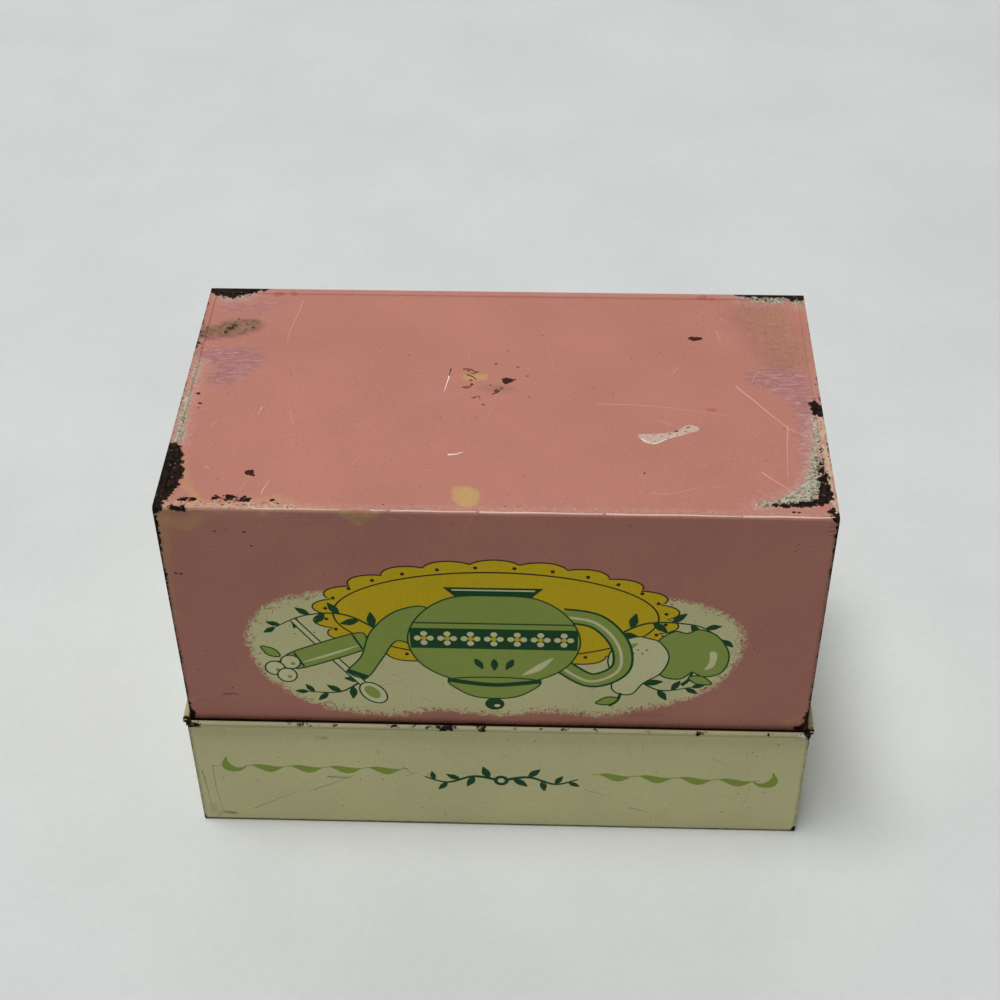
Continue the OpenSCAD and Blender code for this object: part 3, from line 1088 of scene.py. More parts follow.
class Groups:
    """Shared shader effects, each built once."""

    def __init__(self) -> None:
        """Build them all."""
        mask, place, tone = {"Mask": "Float"}, {"Place": None}, {"Colour": "Color"}
        field, grey = {"Field": 0.0, **place}, (0.5, 0.5, 0.5)
        self.ragged = self._make("RaggedMask", {**field, "Grain": 1.0, "Bite": 1.0}, mask, self._ragged)
        self.stipple = self._make("SpongedMask", field, mask, self._stipple)
        self.pits = self._make("Pitting", field, mask, self._pits)
        self.mottle = self._make("Mottle", {"Colour": grey, **place, "Amount": 0.1}, tone, self._mottle)
        self.chips = self._make("EdgeChips", {"Edge": 0.0, **place, "Amount": 0.5}, mask, self._chips)
        self.rust = self._make("RustColour", place, {**tone, "Height": "Float"}, self._rust)

    @staticmethod
    def _make(
        name: str, inputs: dict[str, object], outputs: dict[str, str], fill: Callable[[Graph, object, object], None]
    ) -> NodeTree:
        """Make one group.

        Args:
            name: Its name.
            inputs: Its inputs and their values, None for a vector.
            outputs: Its outputs and their types.
            fill: What adds its nodes.

        Returns:
            The group.
        """
        tree = bpy.data.node_groups.new(name, "ShaderNodeTree")
        for label, value in inputs.items():
            kind = "Vector" if value is None else "Color" if isinstance(value, tuple) else "Float"
            socket = tree.interface.new_socket(name=label, in_out="INPUT", socket_type=f"NodeSocket{kind}")
            if value is not None:
                socket.default_value = (*value, 1.0) if isinstance(value, tuple) else value
        for label, kind in outputs.items():
            tree.interface.new_socket(name=label, in_out="OUTPUT", socket_type=f"NodeSocket{kind}")
        graph = Graph(tree)
        fill(graph, graph.node("NodeGroupInput").outputs, graph.node("NodeGroupOutput").inputs)
        return tree

    @staticmethod
    def _ragged(g: Graph, given: object, out: object) -> None:
        """Turn a distance inside a shape into a mask with a ragged edge."""
        fine = g.minus(g.noise(given["Place"], given["Grain"], 6.0, 0.68), 0.5)
        wide = g.minus(g.noise(given["Place"], g.times(given["Grain"], 3.1), 2.0), 0.5)
        both = g.plus(g.times(fine, 2.4), g.times(wide, 0.5))
        bite = g.times(both, given["Bite"])
        g.put(out["Mask"], g.step(g.plus(given["Field"], bite), -0.06, 0.10))

    @staticmethod
    def _stipple(g: Graph, given: object, out: object) -> None:
        """Turn a distance inside a shape into a mask with a sponged edge of curly flecks."""
        curls = g.noise(given["Place"], 1.05, 3.0, 0.62, 1.1)
        ridge = g.math("ABSOLUTE", g.minus(curls, 0.5))
        fleck = g.minus(0.085, ridge)
        clump = g.minus(g.noise(given["Place"], 2.4, 2.0), 0.5)
        lift = g.times(g.plus(given["Field"], g.times(clump, 2.4)), 0.06)
        edge = g.step(g.plus(fleck, lift), -0.012, 0.02)
        g.put(out["Mask"], g.times(edge, g.step(given["Field"], -1.9, -1.2)))

    @staticmethod
    def _pits(g: Graph, given: object, out: object) -> None:
        """Scatter dark pits that crowd towards rust."""
        chance = g.noise(given["Place"], 0.5, 4.0, 0.72)
        g.put(out["Mask"], g.step(g.plus(chance, g.times(given["Field"], 0.055)), 0.50, 0.54))

    @staticmethod
    def _mottle(g: Graph, given: object, out: object) -> None:
        """Vary a colour in broad clouds and in fine grain."""
        cloud = g.minus(g.noise(given["Place"], 26.0, 4.0, 0.6), 0.5)
        grain = g.minus(g.noise(given["Place"], 0.42, 2.0, 0.7), 0.5)
        both = g.plus(g.times(cloud, 0.8), g.times(grain, 1.1))
        gain = g.plus(1.0, g.times(both, given["Amount"]))
        scaled = g.node("ShaderNodeVectorMath", operation="SCALE")
        g.put(scaled.inputs[0], given["Colour"])
        g.put(scaled.inputs["Scale"], gain)
        g.put(out["Colour"], scaled.outputs[0])

    @staticmethod
    def _chips(g: Graph, given: object, out: object) -> None:
        """Turn nearness to an edge into chips and specks."""
        broad = g.times(g.noise(given["Place"], 9.0, 1.0), 0.5)
        chance = g.plus(g.noise(given["Place"], 1.7, 5.0, 0.7), broad)
        wish = g.times(given["Edge"], given["Amount"])
        g.put(out["Mask"], g.step(g.plus(g.minus(chance, 1.18), wish), 0.0, 0.05))

    @staticmethod
    def _rust(g: Graph, given: object, out: object) -> None:
        """Give rust its colour and its crust."""
        crust = g.noise(given["Place"], 0.8, 5.0, 0.7)
        tone = g.mix(g.step(crust, 0.42, 0.64), (0.003, 0.002, 0.0015), (0.030, 0.013, 0.006))
        warm = g.mix(g.step(g.noise(given["Place"], 0.5, 3.0), 0.63, 0.72), tone, (0.13, 0.055, 0.022))
        flecks = g.step(g.noise(given["Place"], 0.9, 5.0, 0.75), 0.62, 0.66)
        g.put(out["Colour"], g.mix(flecks, warm, (0.30, 0.24, 0.18)))
        g.put(out["Height"], crust)


@dataclass(frozen=True)
class PrintedTin:
    """Glossy printed tin with worn print, primer and rust showing through.

    Attributes:
        name: The material's name.
        ground: The printed ground colour.
        patch: The sponged patch's colour.
        primer: The pale coat under the print.
        tan: The colour of old varnish stains.
        violet: The colour of faded places.
        gloss: The roughness of sound print.
    """

    name: str
    ground: Colour
    patch: Colour = CREAM
    primer: Colour = (0.53, 0.49, 0.37)
    tan: Colour = (0.55, 0.33, 0.14)
    violet: Colour = (0.365, 0.15, 0.15)
    gloss: float = 0.32

    def build(self, groups: Groups) -> Material:
        """Make the material."""
        material, g, shader, place = new_finish(self.name)
        ink = g.node("ShaderNodeAttribute", attribute_name="ink")
        patch = g.effect(groups.stipple, Field=g.held("patch_mm"), Place=place)["Mask"]
        colour = g.mix(patch, self.ground, self.patch)
        clumps = g.noise(place, 2.6, 5.0, 0.7)
        tan = g.step(g.minus(g.times(g.held("tan"), 1.35), clumps), -0.22, 0.80)
        tan = g.times(tan, g.step(g.held("tan"), 0.0, 0.15))
        colour = g.mix(tan, colour, self.tan)
        streaks = g.noise(g.vector("MULTIPLY", place, (0.3, 1.0, 1.0)), 0.8, 5.0, 0.8)
        violet = g.times(g.held("violet"), g.step(g.noise(place, 3.0, 5.0, 0.75), 0.18, 0.58), True)
        faded = g.mix(g.step(streaks, 0.44, 0.72), self.violet, (0.60, 0.36, 0.345))
        colour = g.mix(violet, colour, faded)
        primer_mm = g.held("primer_mm")
        near = g.step(primer_mm, -3.2, 0.2, (0.0, 0.75))
        haze = g.times(near, g.step(g.noise(place, 1.0, 5.0, 0.75), 0.38, 0.60))
        colour = g.mix(haze, colour, (0.56, 0.33, 0.29))
        colour = g.mix(ink.outputs["Alpha"], colour, ink.outputs["Color"])
        colour = g.effect(groups.mottle, Colour=colour, Place=place, Amount=0.36)["Colour"]
        # grime darkens and dulls the print: real grime, and painted shade in the gap above the lid and along the
        # lid's lower edge.
        grime = g.times(g.held("grime"), g.step(g.noise(place, 1.2, 5.0, 0.8), 0.16, 0.78), True)
        colour = g.mix(grime, colour, (0.075, 0.055, 0.040))
        primer = g.effect(groups.ragged, Field=primer_mm, Place=place, Grain=0.9, Bite=2.2)["Mask"]
        powder = g.mix(g.step(g.noise(place, 0.6, 5.0, 0.72), 0.42, 0.64), self.primer, (0.20, 0.16, 0.115))
        colour = g.mix(primer, colour, powder)
        rust_mm = g.held("rust_mm")
        pits = g.times(g.effect(groups.pits, Field=rust_mm, Place=place)["Mask"], primer)
        colour = g.mix(pits, colour, (0.05, 0.035, 0.022))
        chips = g.effect(groups.chips, Edge=g.held("edge"), Place=place, Amount=0.62)["Mask"]
        colour = g.mix(chips, colour, (0.055, 0.032, 0.020))
        rust = g.effect(groups.ragged, Field=rust_mm, Place=place, Grain=1.5, Bite=1.7)["Mask"]
        crust = g.effect(groups.rust, Place=place)
        colour = g.mix(rust, colour, crust["Colour"])
        g.put(shader.inputs["Base Color"], colour)
        bare = g.math("MAXIMUM", rust, g.math("MAXIMUM", chips, primer))
        sheen = g.plus(self.gloss, g.times(g.noise(place, 5.0, 4.0, 0.6), 0.12))
        dull = g.blend(g.math("MAXIMUM", g.times(violet, 0.7), grime), sheen, 0.62)
        g.put(shader.inputs["Roughness"], g.blend(bare, dull, 0.78))
        film = g.times(g.minus(1.0, bare), 0.55)
        skin = g.plus(film, g.times(g.noise(place, 0.4, 3.0), 0.05))
        skin = g.plus(skin, g.times(crust["Height"], g.times(rust, 0.9)))
        g.put(shader.inputs["Normal"], g.bump(skin, 0.5, 0.06))
        shader.inputs["IOR"].default_value = 1.5
        shader.inputs["Specular IOR Level"].default_value = 0.12
        return material


@dataclass(frozen=True)
class BareTin:
    """Tin plate under a thin clear lacquer, as inside the box.

    Attributes:
        name: The material's name.
        colour: The metal's colour.
        rough: Its roughness.
    """

    name: str
    colour: Colour
    rough: float = 0.38

    def build(self, groups: Groups) -> Material:
        """Make the material."""
        material, g, shader, place = new_finish(self.name)
        metal = g.effect(groups.mottle, Colour=self.colour, Place=place, Amount=0.35)["Colour"]
        flecks = g.step(g.noise(place, 1.4, 5.0, 0.75), 0.63, 0.70)
        specks = g.times(flecks, g.step(g.noise(place, 11.0, 2.0), 0.45, 0.65))
        rust = g.effect(groups.rust, Place=place)["Colour"]
        g.put(shader.inputs["Base Color"], g.mix(specks, metal, rust))
        g.put(shader.inputs["Metallic"], g.minus(0.92, specks, True))
        dull = g.plus(self.rough, g.times(g.noise(place, 2.2, 5.0, 0.65), 0.22))
        g.put(shader.inputs["Roughness"], g.blend(specks, dull, 0.85))
        g.put(shader.inputs["Normal"], g.bump(g.noise(place, 0.9, 4.0, 0.6), 0.35, 0.05))
        return material


@dataclass(frozen=True)
class FloorPaper:
    """The pale surface that the box stands on.

    Attributes:
        name: The material's name.
        colour: Its colour.
    """

    name: str = "floor_paper"
    colour: Colour = (0.74, 0.76, 0.75)

    def build(self) -> Material:
        """Make the material."""
        material, g, shader, place = new_finish(self.name)
        cloud = g.noise(place, 60.0, 4.0, 0.6)
        grain = g.noise(place, 2.0, 3.0, 0.6)
        both = g.plus(g.times(cloud, 0.7), g.times(grain, 0.3))
        shade = tuple(c * 0.94 for c in self.colour)
        g.put(shader.inputs["Base Color"], g.mix(g.step(both, 0.35, 0.65), shade, self.colour))
        shader.inputs["Roughness"].default_value = 0.6
        return material


# Wear and marks

WearTable = dict[Wear, list[tuple[float, ...]]]

UNDERSIDE_WEAR: WearTable = {
    Wear.RUST: [
        (-65.8, -20.6, 2, -65.4, -24.5, 2.8, -65.1, -27.5, 3.1, -65.6, -31.5, 2.8, -66, -35, 1.9, -66.3,
         -38, 1.7), (-61, -35.2, 0.75, -60.6, -35.4, 0.7), (-59.2, -35.6, 0.85, -58.8, -35.5, 0.7),
        (-55, -34.6, 0.5, -52.6, -34.5, 0.8, -50.4, -34.7, 0.6, -48.4, -35.1, 0.75),
        (-62.6, -38, 0.7, -60.4, -38, 0.6),
        (-66, 36.2, 1.8, -63.6, 35.5, 1.6, -61.6, 34.9, 1.8, -58.4, 36, 1.5, -54.6, 36.5, 1.3),
        (52.4, 36.6, 0.9, 57.8, 36.2, 1.1, 62, 36.5, 1, 65.7, 35.4, 1.3), (65.2, -3, 1.2, 65.6, -5.4, 1.3),
        (64.6, -20.4, 0.4, 64.5, -24, 0.7, 64.5, -27, 0.9, 64.3, -32.2, 1.6),
        (64, -32.6, 1.4, 60.7, -33.8, 0.9, 56.3, -34.3, 0.6, 53.6, -34.5, 0.4),
        (65, -36, 0.6, 66.4, -38.1, 1),
    ],
    Wear.PRIMER: [
        (-64.9, 8.6, 0.5, -65.2, 0, 0.4, -65.3, -8, 0.6, -64.8, -17, 0.9),
        (-63.4, 33.4, 0.9, -59.6, 33.8, 1, -57.6, 34.4, 0.8),
        (52, 36, 0.7, 57, 34.5, 1.1, 63, 35.2, 0.9, 65.7, 33, 0.8),
        (64.5, -7.5, 0.7, 64.2, -14.6, 0.8, 63.5, -22, 1.2, 62.4, -28.5, 2.1, 60.4, -31.4, 2.3, 55.4,
         -33.4, 1, 50, -34.7, 0.4), (-66, -37.1, -1, 66, -37.1, -1), (-60, -37.5, -0.5, -40, -37.5, -0.5),
        (-66, 35.9, -1.4, 66, 35.9, -1.4), (66, -37, -0.7, 66, -8, -0.9, 65.8, 20, -1.6),
    ],
    Wear.TAN: [
        (2.6, 0.5, -65, 20, 3.4, -60, 22, 4.6, -55.4, 22.6, 3.4),
        (2.4, 0.56, -63, -20, 1.8, -61.8, -27, 2.3, -61, -31, 2.8, -58, -35.6, 2.4, -50, -36, 2, -42.6,
         -34.6, 3, -39.8, -35.6, 2.6),
        (1.4, 0.6, -66, -38, 2, -50, -38, 1.6, -30, -38.1, 1.6, -18, -38.1, 0.9),
        (0.8, 0.92, -6, -32.4, 3.3, -5.6, -34.2, 2.9), (0.9, 0.95, -42.6, 20.5, 1.2, -41.6, 20.8, 0.8),
        (0.7, 0.8, -18.9, 16.8, 0.5, -17, 16.5, 0.7), (2, 0.8, -7, 5.2, 2.6, -4, 5.4, 2.4),
        (8, 0.42, 57, 28, 10, 63, 14, 9),
    ],
    Wear.VIOLET: [
        (3.4, 0.86, -63, 11.6, 4.8, -55.6, 10.6, 5.8, -59, 4.4, 5.2),
        (4, 0.5, -62, 29, 4, -54, 30, 5, -46, 33.4, 2),
        (3, 0.92, 54.6, 6.4, 4.4, 60, 5, 6.2, 62.4, 0, 4.4, 62.8, -8, 3.2, 61.4, -23, 2.8),
        (1.4, 0.3, 43.8, 34.8, 1.5),
    ],
    Wear.GRIME: [
        (1.4, 1, -65.4, 19.2, 2.8, -59.6, 21.6, 3.9, -55.4, 23, 3), (2.2, 0.5, -3.3, 1.6, 2.2, 1.9, 1.4, 2),
        (9, 0.4, 56, 27, 11, 61, 14, 10), (1, 0.3, -66.5, 36, 0.8, -66.5, -38, 0.8),
    ],
    Wear.EDGE: [
        (0.5, 0.5, -58, -36.4, 0.7, 64, -36.4, 0.7), (0.5, 0.5, -65.2, -30, 0.6, -65.2, 30, 0.6),
        (0.5, 0.45, 65.2, -30, 0.6, 65.2, 30, 0.6),
    ],
}

FRONT_WEAR: WearTable = {
    Wear.RUST: [
        (-66.4, 92, 0.8, -66.7, 82, 0.45, -66.6, 66, 0.3), (-66.5, 38, 0.7, -66.4, 33.4, 1.2),
        (66.5, 38.6, 0.6, 66, 35.4, 1.1, 64.6, 34.4, 0.8), (66.6, 92.5, 0.6, 66.6, 86, 0.25),
    ],
    Wear.TAN: [
        (3, 0.6, -64.6, 93, 4.2, -60.6, 91.4, 4.4, -55.4, 93.4, 2.6, -47, 95, 1),
        (2, 0.55, -65.2, 90, 2.8, -65.8, 76, 2.4, -66.2, 60, 1.6),
        (1.5, 0.92, -29.9, 94.4, 1.4, -26.5, 92.9, 2.4, -23.1, 94.2, 1.7),
        (1, 0.5, -26.2, 93, 0.8, -26, 84, 0.5), (1.2, 0.8, -45.4, 94.6, 1.3, -44.4, 92.6, 1.2),
        (1.2, 0.6, -4.6, 94.4, 1.4, -5.6, 91, 1.2, -6.6, 85.6, 0.9), (2.4, 0.7, 62, 36, 2.4, 65, 38, 2),
    ],
    Wear.VIOLET: [
        (4, 0.35, -64, 40, 4, -60, 37, 3), (2, 0.45, -40, 92.6, 2, -14, 93.4, 1.6),
    ],
    Wear.GRIME: [
        (1.6, 0.4, -65.6, 94, 1.2, -61, 93.4, 1.6, -57, 94.4, 0.8),
        (0.5, 0.3, -66, 93.6, 0.4, 66, 93.6, 0.4), (0.5, 0.8, -58.4, 41.7, 0.4, -55.6, 41.7, 0.45),
        (0.35, 0.45, 10, 37.9, 0.22, 36, 37.6, 0.22), (0.4, 0.3, 0.5, 39.9, 0.3, 10, 39.2, 0.3),
        # The last row is painted shade: a dark line across the front just above the lid's rim, where the gap lies
        # in shade.
        (0.8, 0.6, -66, 34.4, 0.9, 66, 34.4, 0.9),
    ],
}

LID_WEAR: WearTable = {
    Wear.RUST: [
        (-67, 33.4, 0.5, -64.6, 33.2, 0.35), (-37.6, 34, 0.35, -35.2, 34, 0.45),
        (-22.6, 34, 0.3, -21.4, 34, 0.4), (-18.6, 34, 0.3, -17, 34, 0.4),
        (-15.4, 33.9, 0.3, -9.6, 33.8, 0.55), (-42.6, 33.9, 0.25, -42.4, 33.9, 0.25),
        (-3.2, 33.6, 0.4, -2.6, 33.6, 0.2), (2.9, 33.9, 0.25, 3.4, 33.9, 0.2), (9.3, 34, 0.2, 10, 34, 0.2),
        (32.9, 34, 0.3, 33.1, 34, 0.2), (41, 34, 0.2, 41.4, 34, 0.25), (43.2, 34, 0.25, 44.4, 34, 0.2),
        (58.5, 34, 0.2, 58.7, 34, 0.2),
    ],
    Wear.TAN: [
        (1.6, 0.3, -67, 30, 1.6, -67, 4, 1.6),
    ],
    Wear.GRIME: [
        # The first row darkens the lid's whole lower edge: partly grime, partly a painted contact shadow.
        (0.6, 0.8, -67, 0.4, 0.5, 67, 0.4, 0.5), (1.4, 0.5, -65, 5, 1, -64, 1.6, 1.2),
        (0.6, 0.7, -40, 29.2, 0.4, -37, 29, 0.5), (0.6, 0.7, -27, 29.4, 0.4, -24, 29.4, 0.5),
        (0.6, 0.5, -36.6, 15.8, 0.35, -32.8, 15.8, 0.25), (0.8, 0.7, -62.6, 2.6, 0.9, -59.6, 2.3, 0.6),
        (1.4, 0.4, -65.8, 5, 0.8, -65.6, 2.4, 1), (1.4, 0.35, -20, 18.6, 0.9, -18.4, 17.6, 0.6),
    ],
}


def smears(table: WearTable, place: Callable[[float, float], Place]) -> list[Smear]:
    """Place the smears of one face.

    Args:
        table: For each kind its smears: for a soft kind how far it fades and how strong it is, and then, for each
            point of its middle line, two measures on the face and a radius.
        place: Turns two measures on the face into a place.

    Returns:
        The smears.
    """
    made = []
    for kind, rows in table.items():
        lead = 0 if kind in HARD_WEAR else 2
        for row in rows:
            line = [place(a, b) for a, b in zip(row[lead::3], row[lead + 1 :: 3])]
            made.append(Smear(kind, line, list(row[lead + 2 :: 3]), *row[:lead]))
    return made


def edge_wear(
    kind: Wear, ends: Iterable[tuple[Place, Place]], radius: float, soft: float, amount: float
) -> list[Smear]:
    """Wear straight edges evenly from end to end."""
    return [Smear(kind, [a, b], [radius, radius], soft, amount) for a, b in ends]


def scratches(rows: Iterable[tuple], at: At, seed: int) -> list[Print]:
    """Draw listed scratches: thin strokes that waver and run out at their ends.

    Args:
        rows: For each one its ink, its width, and two measures for each point of its line.
        at: Turns two measures into a place on the blank.
        seed: What the first one's wavering starts from.

    Returns:
        Their polygons, with their inks.
    """
    made = []
    for i, (ink, width, *measures) in enumerate(rows):
        rng = random.Random(seed + i)
        line = open_curve([at(a, b) for a, b in zip(measures[::2], measures[1::2])], 5)
        curve = [(x + rng.uniform(-0.06, 0.06), y + rng.uniform(-0.06, 0.06)) for x, y in line]
        made.append((stroke(curve, width, width * 0.3), ink))
    return made


def blot(at: Point, radius: float, flat: float, seed: int) -> list[Point]:
    """Draw a small ragged spot.

    Args:
        at: Its middle.
        radius: Its rough radius.
        flat: Its height as a share of its width.
        seed: What its rim starts from.

    Returns:
        The polygon.
    """
    rng = random.Random(seed)
    count = 7 + int(radius * 7)
    reach = [(math.tau * i / count, radius * rng.uniform(0.7, 1.4)) for i in range(count)]
    return [(at[0] + r * math.cos(a), at[1] + flat * r * math.sin(a)) for a, r in reach]


def blots(rows: Iterable[tuple[float, float, float, float]], at: At, ink: Ink, seed: int) -> list[Print]:
    """Draw small ragged spots, each from two measures, a radius and how flat it is."""
    return [(blot(at(a, b), r, flat, seed + i), ink) for i, (a, b, r, flat) in enumerate(rows)]


def fine_marks(low: Point, high: Point, hairs: int, specks: int, seed: int, ink: Ink) -> list[Print]:
    """Scatter fine hair scratches and dark specks over a stretch of a blank.

    Args:
        low: The stretch's lowest corner.
        high: Its highest corner.
        hairs: How many scratches.
        specks: How many specks.
        seed: What the scatter starts from.
        ink: The scratches' colour.

    Returns:
        Their polygons, with their inks.
    """
    rng = random.Random(seed)
    (x0, y0), (x1, y1) = low, high
    made = []
    for _ in range(hairs):
        at = (rng.uniform(x0, x1), rng.uniform(y0, y1))
        turn = rng.choice((12, 25, 75, 100, 140, 160)) + rng.gauss(0, 12)
        length, bow = rng.uniform(1.5, 4) * rng.choice((1, 1, 1, 2.5)), rng.uniform(-0.06, 0.06)
        line = moved([(0, 0), (length / 2, bow * length), (length, 0)], at, turn)
        if all(x0 < x < x1 and y0 < y < y1 for x, y in line):
            made.append((stroke(line, rng.uniform(0.08, 0.15), 0.05), ink))
    for _ in range(specks):
        at = (rng.uniform(x0, x1), rng.uniform(y0, y1))
        speck = disc(at, rng.uniform(0.08, 0.2), rng.uniform(0.5, 1), rng.uniform(0, 180), 7)
        made.append((speck, Ink.DARK_SCRATCH_AND_SHADE))
    return made


def placed(shapes: Iterable[Print], at: At) -> list[Print]:
    """Move printed shapes to their places on a blank."""
    return [([at(a, b) for a, b in points], ink) for points, ink in shapes]


# Sub-assemblies


@dataclass
class HingedTin:
    """What the box and its lid have in common at their hinge and their ends.

    Attributes:
        axle: The hinge wire's middle in (y, z).
        bore: The inner radius of a knuckle.
        knuckle: Where a knuckle of the lid starts and ends along X.
        gap: The space beside a knuckle.
        flange: The width of the end panels' flanges.
    """

    axle: Point = (37.45, 34.04)
    bore: float = 0.65
    knuckle: Point = (21.0, 39.0)
    gap: float = 0.4
    flange: float = 5.0


@dataclass
class CardBox(HingedTin):
    """The box's body: a shell bent from one sheet, and two end panels.

    Attributes:
        half_w: Half its width.
        front: Its front face.
        back: Its back face.
        top: The underside, which is uppermost here.
        mouth: Its mouth, which lies inside the lid.
        wall_foot: Where the back wall gives way to the knuckles.
        hem_end: The height where the hem inside the mouth ends.
        hem_half: Half the hem's width.
        slit: The width of the cuts beside the hem.
        panel_half: Half the size of the pressed panel of the underside.
        panel_middle: The panel's middle along Y.
        panel_round: The radius of its corners.
        panel_drop: Its depth.
        panel_step: The width of the slope round it.
        barrel: Half the length of the row of knuckles.
        lip: The width of the fold that closes an end panel under the underside.
        picture_z: The height of the picture's middle.
    """

    half_w: float = 66.5
    front: float = -38.2
    back: float = 36.8
    top: float = 95.0
    mouth: float = 28.0
    wall_foot: float = 35.29
    hem_end: float = 31.0
    hem_half: float = 61.3
    slit: float = 0.2
    panel_half: Point = (65.2, 35.5)
    panel_middle: float = -0.7
    panel_round: float = 1.5
    panel_drop: float = 0.35
    panel_step: float = 0.45
    barrel: float = 60.0
    lip: float = 0.95
    picture_z: float = 60.0

    def __post_init__(self) -> None:
        """Work out the shell's paths and where its faces lie on the blank."""
        hem = self.hem_end - self.mouth - HEM
        self.wall_v = hem + math.pi * HEM
        wall = self.top - BEND - self.mouth - HEM
        self.front_path = FoldPath((self.front + 2 * HEM, self.hem_end), -90, 1).line(hem).bend(HEM, -180)
        self._over(self.front_path.line(wall))
        self.plain_path = self._over(self._plain())
        self.top_v = self.wall_v + wall + BEND * math.pi / 2
        back_v = self.front_path.ends()[5]
        fall = self.top - BEND
        self.foot_v = back_v + fall - self.wall_foot
        self.corner_v = back_v + fall - self.mouth
        self.corner_path = self._over(self._plain()).line(fall - self.mouth)
        self.knuckle_path = self._over(self._plain()).line(fall - self.axle[1]).bend(self.bore, KNUCKLE_TURN)
        self.knuckle_v = self.knuckle_path.ends()[-1]

    def _plain(self) -> FoldPath:
        """Start at the mouth, where it has no hem, and carry a path up the front wall."""
        path = FoldPath((self.front, self.mouth), 90, 1, self.wall_v - HEM)
        return path.line(self.top - BEND - self.mouth)

    def _over(self, path: FoldPath) -> FoldPath:
        """Carry a path from the front wall over the underside to the back wall."""
        return path.bend(BEND, -90).line(self.back - self.front - 2 * BEND).bend(BEND, -90)

    def front_at(self, x: float, z: float) -> Point:
        """Find a place of the front face on the blank."""
        return x, self.wall_v + z - self.mouth - HEM

    def underside_at(self, x: float, y: float) -> Point:
        """Find a place of the underside on the blank."""
        return x, self.top_v + y - self.front - BEND

    def picture_at(self, x: float, z: float) -> Point:
        """Find a place of the picture, which is upside down here, on the blank."""
        return self.front_at(-x, self.picture_z - z)

    def dent(self, uv: Array) -> Array:
        """Give the pressed panel's drop and the sheet's slight waves.

        Args:
            uv: Points of the blank.

        Returns:
            How far the sheet lies below its nominal face there.
        """
        y = uv[:, 1] - self.top_v + self.front + BEND
        inner = rounded_inside(uv[:, 0], y - self.panel_middle, self.panel_half, self.panel_round)
        drop = self.panel_drop * smooth(inner / self.panel_step)
        waves = 0.10 + 0.05 * np.sin(uv[:, 0] / 13 + 0.6) + 0.05 * np.sin(y / 9 + uv[:, 0] / 31)
        on_top = smooth(inner / 9) * waves
        z = uv[:, 1] - self.wall_v + self.mouth
        edge = np.minimum(np.minimum(z - self.mouth - 10, self.top - z - 3), self.half_w - 3 - np.abs(uv[:, 0]))
        swell = 0.07 + 0.04 * np.sin(uv[:, 0] / 17 + 2) + 0.03 * np.sin(z / 11 + uv[:, 0] / 23)
        return drop + on_top + smooth(edge / 12) * swell

    def wear(self) -> list[Smear]:
        """Give its wear, as photographed, with like wear on the sides that the photograph hides."""
        w, front, back, top = self.half_w, self.front, self.back, self.top
        uprights = [((x, y, top), (x, y, self.mouth)) for x in (-w, w) for y in (front, back)]
        return [
            *smears(UNDERSIDE_WEAR, lambda x, y: (x, y, top)),
            *smears(FRONT_WEAR, lambda x, z: (x, front, z)),
            Smear(Wear.EDGE, [(-w, front, top), (w, front, top)], [0.9, 0.5], 1.0, 0.6),
            *edge_wear(Wear.EDGE, [((-w, back, top), (w, back, top))], 0.9, 1.0, 0.8),
            *edge_wear(Wear.EDGE, uprights, 1.1, 1.1, 0.86),
            *edge_wear(Wear.GRIME, uprights, 0.75, 0.7, 0.9),
            *edge_wear(Wear.EDGE, [((x, front, top), (x, back, top)) for x in (-w, w)], 1.0, 1.0, 0.66),
        ]

    def blank(self) -> Blank:
        """Cut the shell's blank and print it."""
        w, h, s = self.half_w, self.hem_half, self.slit
        start, slit_v = self.wall_v - HEM, self.wall_v + 0.3
        left = [(-w, start), (-h - s, start), (-h - s, slit_v), (-h, slit_v), (-h, 0.0)]
        near, far = self.knuckle[0] - self.gap, self.knuckle[1] + self.gap
        side = self.barrel + self.gap
        right_back = [
            (w, self.corner_v), (side, self.corner_v), (side, self.foot_v), (self.barrel, self.foot_v),
            (self.barrel, self.knuckle_v), (far, self.knuckle_v), (far, self.foot_v), (near, self.foot_v),
            (near, self.knuckle_v),
        ]
        rows = self.front_path.rows() + self.knuckle_path.rows() + self.plain_path.rows()
        middle = self.underside_at(0, self.panel_middle)
        guides = []
        for drop in (0.0, 0.15, 0.3, self.panel_step):
            half = (self.panel_half[0] - drop, self.panel_half[1] - drop)
            guides.append(rounded_loop(middle, half, max(0.4, self.panel_round - drop), 0.8))
        return Blank(across(left) + across(right_back), rows, 1.15, guides, self.spots(), self.prints())

    def spots(self) -> list[tuple[Point, float]]:
        """List the small marks that need closer points."""
        found = []
        for smear in self.wear():
            if smear.kind in HARD_WEAR and max(smear.radii) <= 1.6:
                for (x, y, z), r in zip(smear.line, smear.radii):
                    at = self.underside_at(x, y) if z == self.top else self.front_at(x, z)
                    found.append((at, r + 1.0))
        return found

    def prints(self) -> list[Print]:
        """Place the picture on the front and the marks on every side, from the bottom up."""
        under, front = self.underside_at, self.front_at
        foot = self.foot_v
        shapes = fine_marks(under(-64, -36), under(64, 34), 150, 60, 11, Ink.HAIR_PINK)
        shapes += fine_marks(front(-64, 36), front(64, 93), 70, 40, 12, Ink.HAIR_PINK)
        shapes += fine_marks((-64, foot - 56), (64, foot - 2), 90, 40, 13, Ink.HAIR_PINK)
        shapes += placed(KitchenPicture().draw(), self.picture_at)
        # Painted shade: a dark band on the front wall just behind the lid's rim, standing in for the shade in the
        # gap between box and lid.
        shapes.append((rectangle(front(-66.2, 32.7), front(66.2, 33.75)), Ink.DARK_SCRATCH_AND_SHADE))
        return shapes + self.scrape() + self.worn_band() + self.rust_spots() + self.worn_bend() + self.scratched()

